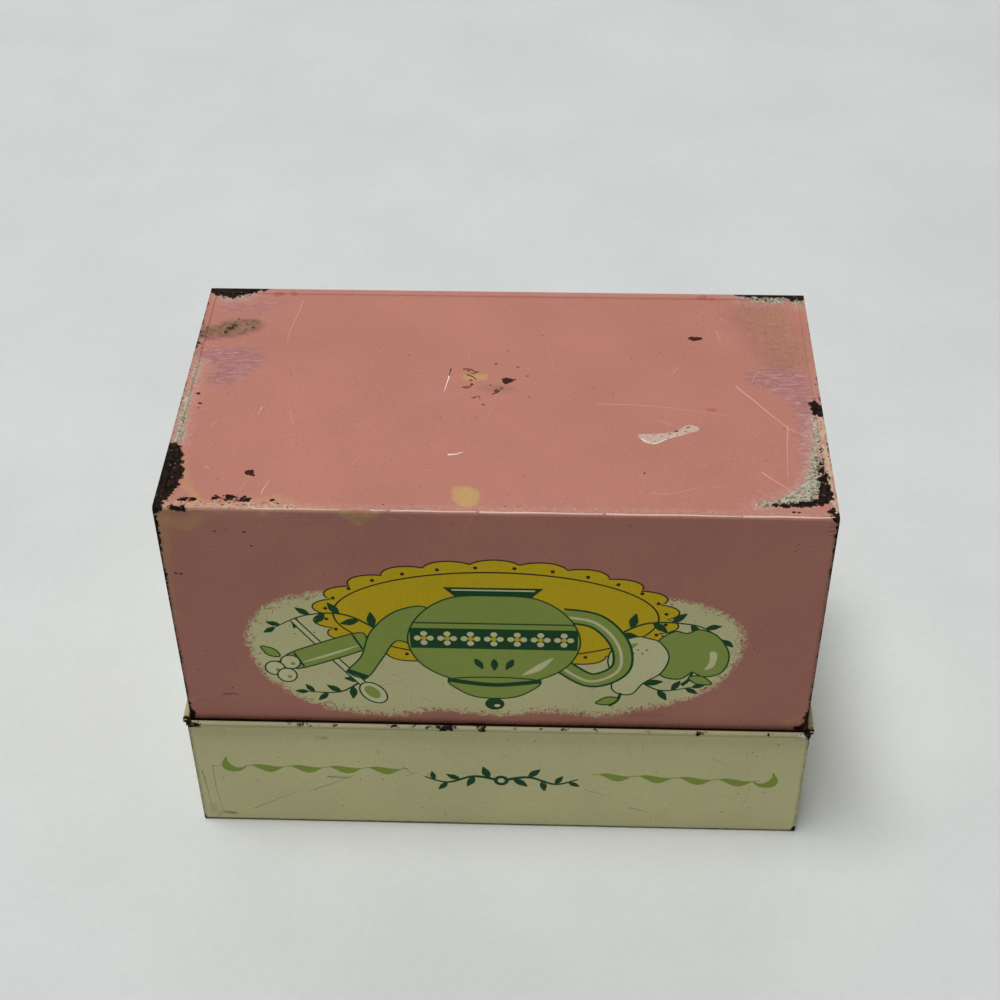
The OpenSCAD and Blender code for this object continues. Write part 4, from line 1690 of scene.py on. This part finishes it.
    def rust_spots(self) -> list[Print]:
        """Draw the small spots of rust and the reddened places."""
        dark = [
            (1.2, 4.3, 1.05, 1), (2.7, 4.6, 0.45, 0.6), (5.5, 6, 0.28, 0.6), (6, -1.2, 0.2, 0.8),
            (-48.9, -26.7, 0.9, 1.1), (-48.3, -27.6, 0.4, 0.8), (41.5, 20, 1.35, 0.55), (29.4, -25.2, 0.25, 1),
            (-55.1, 22.2, 0.45, 0.6), (-65.8, 18.1, 0.45, 0.8), (-58.7, 25.2, 0.3, 0.8), (-63.4, -1.8, 0.45, 0.8),
            (-65.1, -10, 0.6, 0.7), (-65.2, -11.4, 0.35, 1), (64.6, -14.9, 0.4, 1.6), (64.9, -17.4, 0.45, 1.5),
            (57.8, -36.6, 0.45, 0.7), (58.8, -36.7, 0.35, 0.7), (-5.4, 6.9, 0.4, 0.4), (-44.9, -36.1, 0.4, 0.6),
            (-43.4, -35.1, 0.5, 0.7), (-62.6, -6.6, 0.2, 1), (-60.9, 20.2, 0.5, 1.3), (-60.2, 21.6, 0.8, 0.9),
            (-59.4, 22.7, 0.7, 0.6),
        ]
        brown = [
            (-7, 7.5, 0.55, 0.35), (-6, 6.6, 0.5, 0.4), (-6.4, 4.2, 0.4, 0.6), (-7.2, 2, 0.5, 0.4),
            (-6.2, 2.8, 0.4, 1.1), (-0.9, 0.5, 0.55, 1.1), (-5.6, -1.6, 0.5, 0.3), (-3.5, -4.1, 0.45, 0.4),
            (-1.3, 10.1, 0.35, 0.8), (3.4, 9.1, 0.4, 0.5), (1.1, 14.8, 0.25, 0.6), (-62.5, -5.1, 0.5, 0.7),
            (-2.2, 2.6, 0.3, 0.6), (0.2, 1.6, 0.35, 0.5),
        ]
        red = [(43.9, 35, 1.3), (46, 34.6, 0.7), (43.8, -4.8, 1), (-50.8, 34.4, 1.2), (-47.6, 34.6, 0.8)]
        facing = [
            (-55, 89, 0.3, 0.6), (-49.1, 88.9, 0.35, 0.5), (-48.1, 85.2, 0.25, 0.7), (-64.1, 77.4, 0.3, 0.7),
            (-63.1, 77.2, 0.35, 0.6),
        ]
        return [
            *blots(dark, self.underside_at, Ink.SPOT, 0),
            *blots(brown, self.underside_at, Ink.BROWN_SPOT_AND_SHADE, 90),
            *blots([(*row, 0.6) for row in red], self.underside_at, Ink.REDDENED, 130),
            *blots(facing, self.front_at, Ink.SPOT, 150),
        ]

    def worn_bend(self) -> list[Print]:
        """Draw the bright line along the bend above the front: print worn off the bend, together with a painted
        highlight where the bend faces the light.
        """
        made = []
        bend = self.top_v - BEND * 0.6
        runs = [
            (-47, -30, 0.2), (-24, -21, 0.26), (-20, -3.5, 0.3), (-2.8, 21, 0.34), (21.6, 47.5, 0.34),
            (48, 65.6, 0.4),
        ]
        for x0, x1, wide in runs:
            line = [(x0 + (x1 - x0) * t, bend + 0.05 * math.sin(9 * t + x0)) for t in (0, 0.2, 0.4, 0.6, 0.8, 1)]
            made.append((stroke(open_curve(line, 3), wide, wide * 0.6), Ink.WORN_BEND))
        return made

    def scratched(self) -> list[Print]:
        """Draw the scratches on the underside and the front."""
        pink, pale, white = Ink.SCRATCH_PINK, Ink.SCRATCH_PALE, Ink.WHITE_SCRATCH_AND_HIGHLIGHT
        dark, brown = Ink.DARK_SCRATCH_AND_SHADE, Ink.BROWN_SPOT_AND_SHADE
        underside = [
            (pink, 0.22, -45.3, 32.3, -46, 26.6, -46.9, 20.9, -46.9, 15.8),
            (white, 0.42, -9.9, -20.4, -8.4, -20.2, -6.9, -19.5), (white, 0.3, -11.1, 5.5, -11.4, 3.4, -11.9, 0.2),
            (dark, 0.3, -10.8, 8.2, -11.1, 5.5), (pale, 0.22, 49.3, 3.5, 54.8, -4.5, 59.3, -10.6, 62.8, -13.1),
            (pink, 0.2, 19.9, -3.3, 29, -3.4, 37.3, -4.6, 48.2, -6.6), (pale, 0.2, 52.6, -24.5, 58.2, -30.4),
            (pink, 0.26, 59, -9.6, 58.2, -18, 57.6, -26.2), (pink, 0.2, 30.3, -31.1, 34.6, -31.3, 40.1, -29.1),
            (pink, 0.2, 32.6, -8.6, 37.4, -10.8), (pink, 0.2, 51.2, -29.7, 53.2, -31.7),
            (pink, 0.18, 52.8, 4.9, 54.6, 8.4, 59.8, 8.6), (pink, 0.16, 59.8, 8.6, 64.6, 7.4),
            (pink, 0.18, 37.3, 9.4, 35.6, 6.3), (pink, 0.18, 42.9, 30, 45.7, 28.6),
            (pink, 0.18, 47, 27.9, 49.5, 26), (pink, 0.18, 46.3, 23, 47.2, 17.5),
            (pale, 0.2, -49.4, -5.9, -49.9, -8.6), (brown, 0.5, -8.3, 8, -6.9, 8.1, -5.6, 7.2, -4.6, 7.4),
            (brown, 0.5, -7.4, 6.2, -6, 5.4, -5.2, 4.2), (brown, 0.5, -8.2, 1.8, -6.8, 1.5, -6, 3),
            (brown, 0.45, -1.8, -0.5, -0.4, 0.4, 0.1, 2.2), (brown, 0.3, -5.7, -2.1, -4.5, -1.2, -4.3, -2.4),
            (pink, 0.16, -59.2, -12.7, -57.9, -10.1), (pink, 0.16, -43.4, -7.1, -42, -12),
            (pink, 0.2, -54.5, 8.1, -51, 5.7), (pale, 0.22, -45.9, -33, -44.8, -28.8),
            (pale, 0.2, -58.4, -25, -57.2, -25.6), (pink, 0.14, -50.1, -32.5, -48.8, -27.9),
        ]
        front = [
            (dark, 0.2, 66.2, 92.9, 64.6, 92.7), (dark, 0.2, 66.3, 91.8, 64.2, 91.5),
            (dark, 0.2, 66.3, 90.9, 65, 90.6), (dark, 0.2, -58.6, 41.6, -56.6, 41.9, -55.2, 41.6),
        ]
        return scratches(underside, self.underside_at, 0) + scratches(front, self.front_at, 50)

    def scrape(self) -> list[Print]:
        """Draw the wedge-shaped scrape on the underside, with a painted highlight along its lower edge."""
        rng = random.Random(5)
        wedge = [
            (28.4, -13.2), (31, -12.9), (34.5, -12.4), (36.6, -11.6), (38, -10.2), (39.6, -9.9), (40.9, -10.6),
            (40.5, -11.7), (38.9, -12.5), (34.8, -14.2), (32.1, -16.1), (30.4, -16), (29.1, -14.9),
        ]
        rim = closed_curve([self.underside_at(x, y) for x, y in wedge], 4)
        rim = [(x + rng.uniform(-0.1, 0.1), y + rng.uniform(-0.1, 0.1)) for x, y in rim]
        # Painted highlight: a white line along the scrape's lower edge, as if that edge caught the light.
        low = [(29.1, -14.5), (30.6, -15.7), (32.1, -15.8), (34.6, -14.1), (37.4, -13.0)]
        lit_edge_highlight = stroke(open_curve([self.underside_at(x, y) for x, y in low], 4), 0.3, 0.15)
        made = [(rim, Ink.SCRAPED), (lit_edge_highlight, Ink.WHITE_SCRATCH_AND_HIGHLIGHT)]
        while len(made) < 60:
            at = self.underside_at(rng.uniform(28.4, 41.0), rng.uniform(-16.2, -9.9))
            if inside(np.array([at]), rim)[0]:
                made.append((blot(at, rng.uniform(0.08, 0.24), 0.7, 300 + len(made)), Ink.SCRAPED_DARK))
        brown = [(34.9, -12.8, 0.3), (36.2, -11.9, 0.4), (38.6, -10.6, 0.35), (33.2, -13.6, 0.2), (38, -11.9, 0.2)]
        for x, y, r in brown:
            made.append((blot(self.underside_at(x, y), r, 0.6, int(10 * x)), Ink.BROWN_SPOT_AND_SHADE))
        return made

    def worn_band(self) -> list[Print]:
        """Fleck the raised band where the box has stood on it: along the front and up the right side."""
        rng = random.Random(77)
        stretches = [
            (100, (-64.5, -38, -39, -36.2), (0.15, 0.5), 0.4, Ink.WORN_BAND),
            (34, (-64.5, -38, -38, -35.8), (0.1, 0.3), 0.5, Ink.BROWN_SPOT_AND_SHADE),
            (90, (-40, -38, 65, -36.4), (0.1, 0.3), 0.3, Ink.WORN_BAND),
            (34, (-40, -36.5, 65, -35.9), (0.08, 0.2), 0.5, Ink.SCRAPED_DARK),
            (130, (65.2, -37, 66.2, -2), (0.12, 0.34), 2.4, Ink.WORN_BAND),
            (12, (65.2, -36, 66.2, 8), (0.1, 0.2), 1.4, Ink.BROWN_SPOT_AND_SHADE),
        ]
        made = []
        for count, (x0, y0, x1, y1), radii, flat, ink in stretches:
            for _ in range(count):
                at = self.underside_at(rng.uniform(x0, x1), rng.uniform(y0, y1))
                made.append((blot(at, rng.uniform(*radii), flat, rng.randrange(999)), ink))
        return made

    def shell(self) -> Sheet:
        """Make the shell's sheet."""
        h, far = self.hem_half + self.slit / 2, self.barrel + self.gap / 2
        front = three_zones(h, self.front_path, self.plain_path)
        back = three_zones(far, self.knuckle_path, self.corner_path)
        fold = ShellFold(self.top_v + 30, front, back, self.dent)
        patch = [self.picture_at(a, b) for a, b in closed_curve(PATCH, 8)]
        return Sheet("box_shell_sheet", self.blank(), fold, self.wear(), patch=patch)

    def end(self, side: Side) -> Sheet:
        """Make an end panel.

        Args:
            side: The side that it closes.

        Returns:
            Its sheet.
        """
        low, high, ceiling, m, s = self.front + TIN, self.back - TIN, self.top - TIN, self.mouth, CORNER_CUT
        middle = (low + high) / 2
        lip_v = ceiling - TIGHT + QUARTER + self.lip - TIGHT
        hem_v = m + HEM - math.pi * HEM - (self.hem_end - m - HEM)
        out = low + TIGHT - (QUARTER + self.flange - TIGHT)
        a, b = low + TIN, low + TIN + self.slit
        left = [
            (b, hem_v), (b, m + s), (a, m + s), (a, m), (out, m), (out, ceiling - s), (low, ceiling - s),
            (low + TIGHT, ceiling - TIGHT), (low + s, ceiling), (low + s, lip_v),
        ]
        rows = evenly(m + HEM, -math.pi * HEM, 12) + evenly(ceiling - TIGHT, QUARTER, 6)
        marks = fine_marks((low + 2, m + 8), (high - 2, ceiling - 3), 60, 26, 30 + side.value, Ink.HAIR_PINK)
        columns = evenly(low + TIGHT, -QUARTER, 6)
        columns += [2 * middle - y for y in columns]
        guides = [sliver(y, m + 0.6, ceiling - s - 0.1) for y in columns]

        def dent(pq: Array) -> Array:
            """Give the panel's slight waves."""
            y, z = pq[:, 0], pq[:, 1]
            edge = np.minimum(high - 6 - np.maximum(y, 2 * middle - y), np.minimum(z - 38, 88 - z))
            return smooth(edge / 12) * (0.08 + 0.05 * np.sin(y / 9) + 0.03 * np.sin(z / 12 + 1))

        hem, lip = (m + HEM, HEM, 180), (ceiling - TIGHT, TIGHT, 90)
        fold = EndFold(self.half_w, side.value, low, high, hem, lip, ceiling, dent)
        blank = Blank(across(left, middle), rows, 1.2, guides, shapes=marks)
        return Sheet(f"box_{side.name.lower()}_end_sheet", blank, fold, self.wear())


@dataclass
class BoxLid(HingedTin):
    """The lid: a shell bent from one sheet with outward rims and two knuckles, and two end panels.

    Attributes:
        half_w: Half its width.
        half_d: Half its depth.
        height: Its height with the rim.
        rim: The outer radius of its rim.
        slope: The height of the slope below a knuckle.
        flange_top: The height where their flanges stop.
    """

    half_w: float = 67.3
    half_d: float = 39.0
    height: float = 34.0
    rim: float = 0.65
    slope: float = 2.5
    flange_top: float = 27.0

    def __post_init__(self) -> None:
        """Work out the shell's paths and where its front lies on the blank."""
        self.curl = self.rim - TIN
        self.rim_z = self.height - self.rim
        self.wall = self.rim_z - BEND
        self.front_v = self.curl * math.radians(RIM_TURN)
        self.rim_path = self._front().line(self.wall).bend(self.curl, -RIM_TURN)
        self.back_v = self._front().ends()[-1]
        self.foot_v = self.back_v + self.axle[1] - self.slope - BEND
        self.knuckle_path = self._knuckle()

    def _front(self) -> FoldPath:
        """Start at the front rim's free edge and go down, under and up to the back wall."""
        ((y, z),) = moved([(self.curl, 0)], (-self.half_d - self.curl, self.rim_z), RIM_TURN)
        path = FoldPath((y, z), 200, -1).bend(self.curl, -RIM_TURN).line(self.wall)
        return path.bend(BEND, 90).line(2 * (self.half_d - BEND)).bend(BEND, 90)

    def _knuckle(self) -> FoldPath:
        """Leave the back wall by a slope that meets the roll round the wire."""
        from_y = self.half_d - TIN / 2 - self.axle[0]
        middle = self.bore + TIN / 2
        along = math.sqrt(from_y**2 + self.slope**2 - middle**2)
        tilt = math.degrees(math.atan2(along, middle) - math.atan2(self.slope, from_y))
        out = self.bore + TIN
        t = math.radians(tilt)
        touch = (self.axle[0] + out * math.cos(t), self.axle[1] + out * math.sin(t))
        length = (self.half_d - touch[0]) / math.sin(t)
        foot_z = touch[1] - length * math.cos(t)
        ease = TIGHT * math.tan(t / 2)
        path = self._front().line(foot_z - ease - BEND)
        return path.bend(TIGHT, tilt).line(length - ease).bend(out, KNUCKLE_TURN)

    def front_at(self, x: float, z: float) -> Point:
        """Find a place of the front face on the blank."""
        return x, self.front_v + self.rim_z - z

    def dent(self, uv: Array) -> Array:
        """Give the sheet's slight waves on the front and the back.

        Args:
            uv: Points of the blank.

        Returns:
            How far the sheet lies below its nominal face there.
        """
        z = self.rim_z - (uv[:, 1] - self.front_v)
        edge = np.minimum(np.minimum(z - 3, 30 - z), self.half_w - 8 - np.abs(uv[:, 0]))
        return smooth(edge / 8) * (0.06 + 0.04 * np.sin(uv[:, 0] / 15 + 1) + 0.02 * np.sin(z / 6 + uv[:, 0] / 19))

    def wear(self) -> list[Smear]:
        """Give its wear, as photographed, with like wear on the sides that the photograph hides."""
        w, d, top = self.half_w, self.half_d, self.height
        corners = [(x, y) for x in (-w, w) for y in (-d, d)]
        uprights = [((x, y, 0.0), (x, y, top)) for x, y in corners]
        return [
            *smears(LID_WEAR, lambda x, z: (x, -39.0 if z < 33 else -39.7, z)),
            *[Smear(Wear.RUST, [(x, y, 0.6), (x, y, 1.6)], [1.15, 0.5]) for x, y in corners],
            *[Smear(Wear.RUST, [(x, y, 32.6), (x, y, top)], [0.8, 1.6]) for x, y in corners],
            Smear(Wear.PRIMER, [(66.2, -39.7, 33.4), (65.2, -39.8, 33.5)], [0.55, 0.3]),
            *edge_wear(Wear.GRIME, uprights, 0.8, 0.8, 0.85),
            *edge_wear(Wear.EDGE, uprights, 1.0, 1.2, 0.7),
            *edge_wear(Wear.EDGE, [((-w, y, 0.2), (w, y, 0.2)) for y in (-d, d)], 0.8, 0.9, 0.8),
            *edge_wear(Wear.EDGE, [((x, -d, 0.2), (x, d, 0.2)) for x in (-w, w)], 0.8, 0.9, 0.8),
            *edge_wear(Wear.EDGE, [((-68, y, top), (68, y, top)) for y in (-39.4, 39.4)], 1.5, 1.4, 0.54),
            *edge_wear(Wear.EDGE, [((x, -d, top), (x, d, top)) for x in (-67.7, 67.7)], 1.5, 1.4, 0.54),
        ]

    def blank(self) -> Blank:
        """Cut the shell's blank and print it."""
        w, (near, far), g, foot = self.half_w, self.knuckle, self.gap, self.foot_v
        rim_v, knuckle_v = self.rim_path.ends()[-1], self.knuckle_path.ends()[-1]
        right = [
            (w, 0.0), (w, rim_v), (far + g, rim_v), (far + g, foot), (far, foot), (far, knuckle_v),
            (near, knuckle_v), (near, foot), (near - g, foot), (near - g, rim_v),
        ]
        return Blank(across(right), self.rim_path.rows() + self.knuckle_path.rows(), 0.9, shapes=self.prints())

    def prints(self) -> list[Print]:
        """Place the rim's bead, printed darker as painted shade, then the ribbons and the marks, from the bottom
        up.
        """
        grey, dark, brown = Ink.GREY_SCRATCH_AND_SHADE, Ink.DARK_SCRATCH_AND_SHADE, Ink.BROWN_SPOT_AND_SHADE
        lines = [
            (grey, 0.24, -41.6, 11.1, -36, 14.2, -31.8, 16.7), (grey, 0.2, -55.4, 4.3, -50, 7.6, -44.5, 11),
            (grey, 0.22, -66, 17.2, -65.4, 10, -65.2, 4.6), (grey, 0.18, -63.3, 19.1, -63.4, 11, -62.6, 3),
            (grey, 0.18, -63.5, 18.6, -60.1, 19.4), (grey, 0.16, 19.5, 13.2, 25.1, 10.9),
            (dark, 0.16, 29.3, 7.2, 33.8, 5.9), (dark, 0.22, -38, 15.9, -34, 15.7, -32.6, 15.9),
            (grey, 0.14, 9.4, 15.3, 13.9, 14), (dark, 0.35, -66.8, 31.8, -64.2, 31.8),
            # The brown line along the lid's lower edge is partly wear, partly a painted contact shadow.
            (brown, 0.32, -66.8, 0.45, -20, 0.5, 20, 0.45, 66.8, 0.5),
            # The grey line at the start of this row is painted shade under the bead.
            (grey, 0.22, -66.8, 32.5, -20, 32.6, 20, 32.5, 66.8, 32.6), (grey, 0.18, -21, 20, -18.6, 17),
            (grey, 0.18, -20.4, 16.6, -17.2, 18.2), (grey, 0.12, 47, 24.6, 50.8, 22.4),
            (dark, 0.25, -60, 2.2, -62.6, 3),
        ]
        w, back = self.half_w, self.back_v
        return [
            # Painted shade: the bead is printed in a darker, greyer cream than the lid, so that its upward face
            # does not look lit.
            (rectangle((EDGE_CLEAR - w, EDGE_CLEAR), (w - EDGE_CLEAR, self.front_v - EDGE_CLEAR)), Ink.RIM),
            *fine_marks(self.front_at(-65, 31), self.front_at(65, 3), 80, 40, 21, Ink.HAIR_CREAM),
            *fine_marks((-65, self.front_v + 36), (65, self.front_v + 106), 120, 60, 22, Ink.HAIR_CREAM),
            *fine_marks((-65, back + 3), (65, back + 28), 60, 30, 23, Ink.HAIR_CREAM),
            *placed(LidPrint().draw(), self.front_at),
            *scratches(lines, self.front_at, 80),
        ]

    def coated_inside(self, uv: Array) -> Array:
        """Tell where the print runs round the rim onto the inner face.

        Args:
            uv: Points of the blank.

        Returns:
            True for each such point.
        """
        last = self.rim_path.ends()[-1] - self.front_v
        hinge = (np.abs(uv[:, 0]) > self.knuckle[0] - 0.1) & (np.abs(uv[:, 0]) < self.knuckle[1] + 0.1)
        return (uv[:, 1] < self.front_v + 0.4) | ((uv[:, 1] > last - 0.4) & ~hinge)

    def shell(self) -> Sheet:
        """Make the shell's sheet."""
        near, far = self.knuckle[0] - self.gap / 2, self.knuckle[1] + self.gap / 2
        back = [Zone(a, b, self.rim_path) for a, b in ((-FAR, -far), (-near, near), (far, FAR))]
        back += [Zone(a, b, self.knuckle_path) for a, b in ((-far, -near), (near, far))]
        fold = ShellFold(self.front_v + 60, [Zone(-FAR, FAR, self.rim_path)], back, self.dent)
        return Sheet("lid_shell_sheet", self.blank(), fold, self.wear(), self.coated_inside)

    def end(self, side: Side) -> Sheet:
        """Make an end panel.

        Args:
            side: The side that it closes.

        Returns:
            Its sheet.
        """
        high, floor, rim_z, top = self.half_d - TIN, TIN, self.rim_z, self.flange_top
        reach, corner, side_y = QUARTER + self.flange - TIGHT, floor + CORNER_CUT, high - TIGHT
        curl_v = rim_z + self.front_v
        out = side_y + reach
        right = [
            (high - CORNER_CUT, floor + TIGHT - reach), (high - CORNER_CUT, floor), (side_y, floor + TIGHT),
            (high, corner), (out, corner), (out, top), (side_y, top), (side_y, top + 0.3), (high, top + 0.3),
            (high, curl_v),
        ]
        rows = evenly(floor + TIGHT, -QUARTER, 6) + evenly(rim_z, self.front_v, 21)
        columns = [side * y for y in evenly(side_y, QUARTER, 6) for side in (-1, 1)]
        guides = [sliver(y, corner + 0.3, top - 0.1) for y in columns]
        # Painted shade: the end's bead is printed in the same darker, greyer cream as the front bead.
        bead = rectangle((EDGE_CLEAR - high, rim_z + EDGE_CLEAR), (high - EDGE_CLEAR, curl_v - EDGE_CLEAR))
        marks = fine_marks((2 - high, 3.0), (high - 2, top + 4), 40, 20, 40 + side.value, Ink.HAIR_CREAM)

        def dent(pq: Array) -> Array:
            """Give the panel's slight waves."""
            y, z = pq[:, 0], pq[:, 1]
            edge = np.minimum(high - 7 - np.abs(y), np.minimum(z - 4, 29 - z))
            return smooth(edge / 8) * (0.07 + 0.04 * np.sin(y / 8) + 0.02 * np.sin(z / 7))

        foot, curl = (floor + TIGHT, TIGHT, 90), (rim_z, self.curl, -RIM_TURN)
        fold = EndFold(self.half_w, side.value, -high, high, foot, curl, top + 0.15, dent)
        blank = Blank(across(right), rows, 1.2, guides, shapes=[(bead, Ink.RIM), *marks])
        name = f"lid_{side.name.lower()}_end_sheet"
        return Sheet(name, blank, fold, self.wear(), lambda pq: pq[:, 1] > rim_z - 0.4)


@dataclass
class Studio:
    """The pale sweep, the soft lights and the camera of the photograph.

    Attributes:
        eye: The camera's place in millimetres.
        azimuth: Its turn from +Y towards +X, in degrees.
        drop: How far it looks down, in degrees.
        roll: Its roll, in degrees.
        lens: Its focal length on a 36 mm sensor.
    """

    eye: tuple[float, float, float] = (11.67, -291.15, 322.0)
    azimuth: float = -2.371
    drop: float = 41.456
    roll: float = -0.644
    lens: float = 63.44

    def camera(self) -> None:
        """Set up the camera."""
        a, d, r = (math.radians(v) for v in (self.azimuth, self.drop, self.roll))
        ahead = Vector((math.sin(a) * math.cos(d), math.cos(a) * math.cos(d), -math.sin(d)))
        right = Vector((math.cos(a), -math.sin(a), 0))
        up = right.cross(ahead)
        level = right * math.cos(r) + up * math.sin(r)
        upright = up * math.cos(r) - right * math.sin(r)
        data = bpy.data.cameras.new("camera")
        data.lens, data.sensor_width = self.lens, 36.0
        data.clip_start, data.clip_end = 0.01, 20.0
        obj = in_scene("camera", data)
        turn = Matrix((level, upright, -ahead)).transposed().to_4x4()
        obj.matrix_world = Matrix.Translation(Vector(self.eye) * MM) @ turn
        bpy.context.scene.camera = obj

    def sweep(self) -> None:
        """Lay the pale floor, which rises far behind the box."""
        profile = [(-3.0, 0.0), (0.55, 0.0)]
        profile += [(0.55 + 0.5 * math.sin(a), 0.5 - 0.5 * math.cos(a)) for a in np.linspace(0.1, math.pi / 2, 14)]
        profile += [(1.05, 2.5)]
        verts = [(x, y, z - 0.00005) for y, z in profile for x in (-3.0, 3.0)]
        faces = [(2 * i, 2 * i + 1, 2 * i + 3, 2 * i + 2) for i in range(len(profile) - 1)]
        mesh = bpy.data.meshes.new("floor_sweep")
        mesh.from_pydata(verts, [], faces)
        mesh.materials.append(FloorPaper().build())
        mesh.polygons.foreach_set("use_smooth", [True] * len(faces))
        in_scene("floor_sweep", mesh)

    def light(self, name: str, place: Sequence[float], aim: Sequence[float], size: Point, power: float) -> None:
        """Hang one soft light."""
        data = bpy.data.lights.new(name, "AREA")
        data.shape, data.energy = "RECTANGLE", power
        data.size, data.size_y = size
        obj = in_scene(name, data)
        way = Vector(aim) - Vector(place)
        obj.location = place
        obj.rotation_euler = way.to_track_quat("-Z", "Y").to_euler()

    def lights(self) -> None:
        """Hang the lights and set the ambient light."""
        self.light("overhead", (-0.27, -0.21, 2.4), (0, 0, 0.05), (1.1, 0.46), 43.6)
        world = bpy.data.worlds.new("room")
        world.use_nodes = True
        world.node_tree.nodes["Background"].inputs["Color"].default_value = (0.93, 0.97, 1.0, 1)
        world.node_tree.nodes["Background"].inputs["Strength"].default_value = 0.06
        bpy.context.scene.world = world

    def build(self) -> None:
        """Set up everything round the box."""
        self.camera()
        self.sweep()
        self.lights()
        bpy.context.scene.view_settings.view_transform = "Standard"
        LOG.info("studio ready")


def dress(sheet: Sheet, materials: Sequence[Material], body: str, node: str) -> None:
    """Build a sheet and put it in its node's place.

    Args:
        sheet: The sheet.
        materials: Its printed and its inner finish.
        body: The body that it rides on.
        node: The node of the part that it stands for.
    """
    piece = sheet.build(materials)
    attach(piece, body)
    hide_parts(node)


def main() -> None:
    """Build the box, the lid, the wire and the studio."""
    logging.basicConfig(level=logging.INFO, format="%(name)s: %(message)s")
    groups = Groups()
    inside_tin = BareTin("inside_tin", (0.46, 0.43, 0.37)).build(groups)
    wire_steel = BareTin("wire_steel", (0.34, 0.32, 0.29), 0.42).build(groups)
    pink = PrintedTin("pink_print", (0.50, 0.207, 0.157)).build(groups)
    cream = PrintedTin("cream_print", CREAM, primer=(0.66, 0.65, 0.52), tan=(0.42, 0.35, 0.16)).build(groups)
    box, lid = CardBox(), BoxLid()
    dress(box.shell(), (pink, inside_tin), "box", "box_shell")
    dress(lid.shell(), (cream, inside_tin), "lid", "lid_shell")
    for side in Side:
        label = side.name.lower()
        dress(box.end(side), (pink, inside_tin), "box", f"box_{label}_end")
        dress(lid.end(side), (cream, inside_tin), "lid", f"lid_{label}_end")
    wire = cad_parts["hinge_wire"]
    wire.data.materials.clear()
    wire.data.materials.append(wire_steel)
    LOG.info("hinge_wire: dressed")
    Studio().build()


if __name__ == "__main__":
    main()
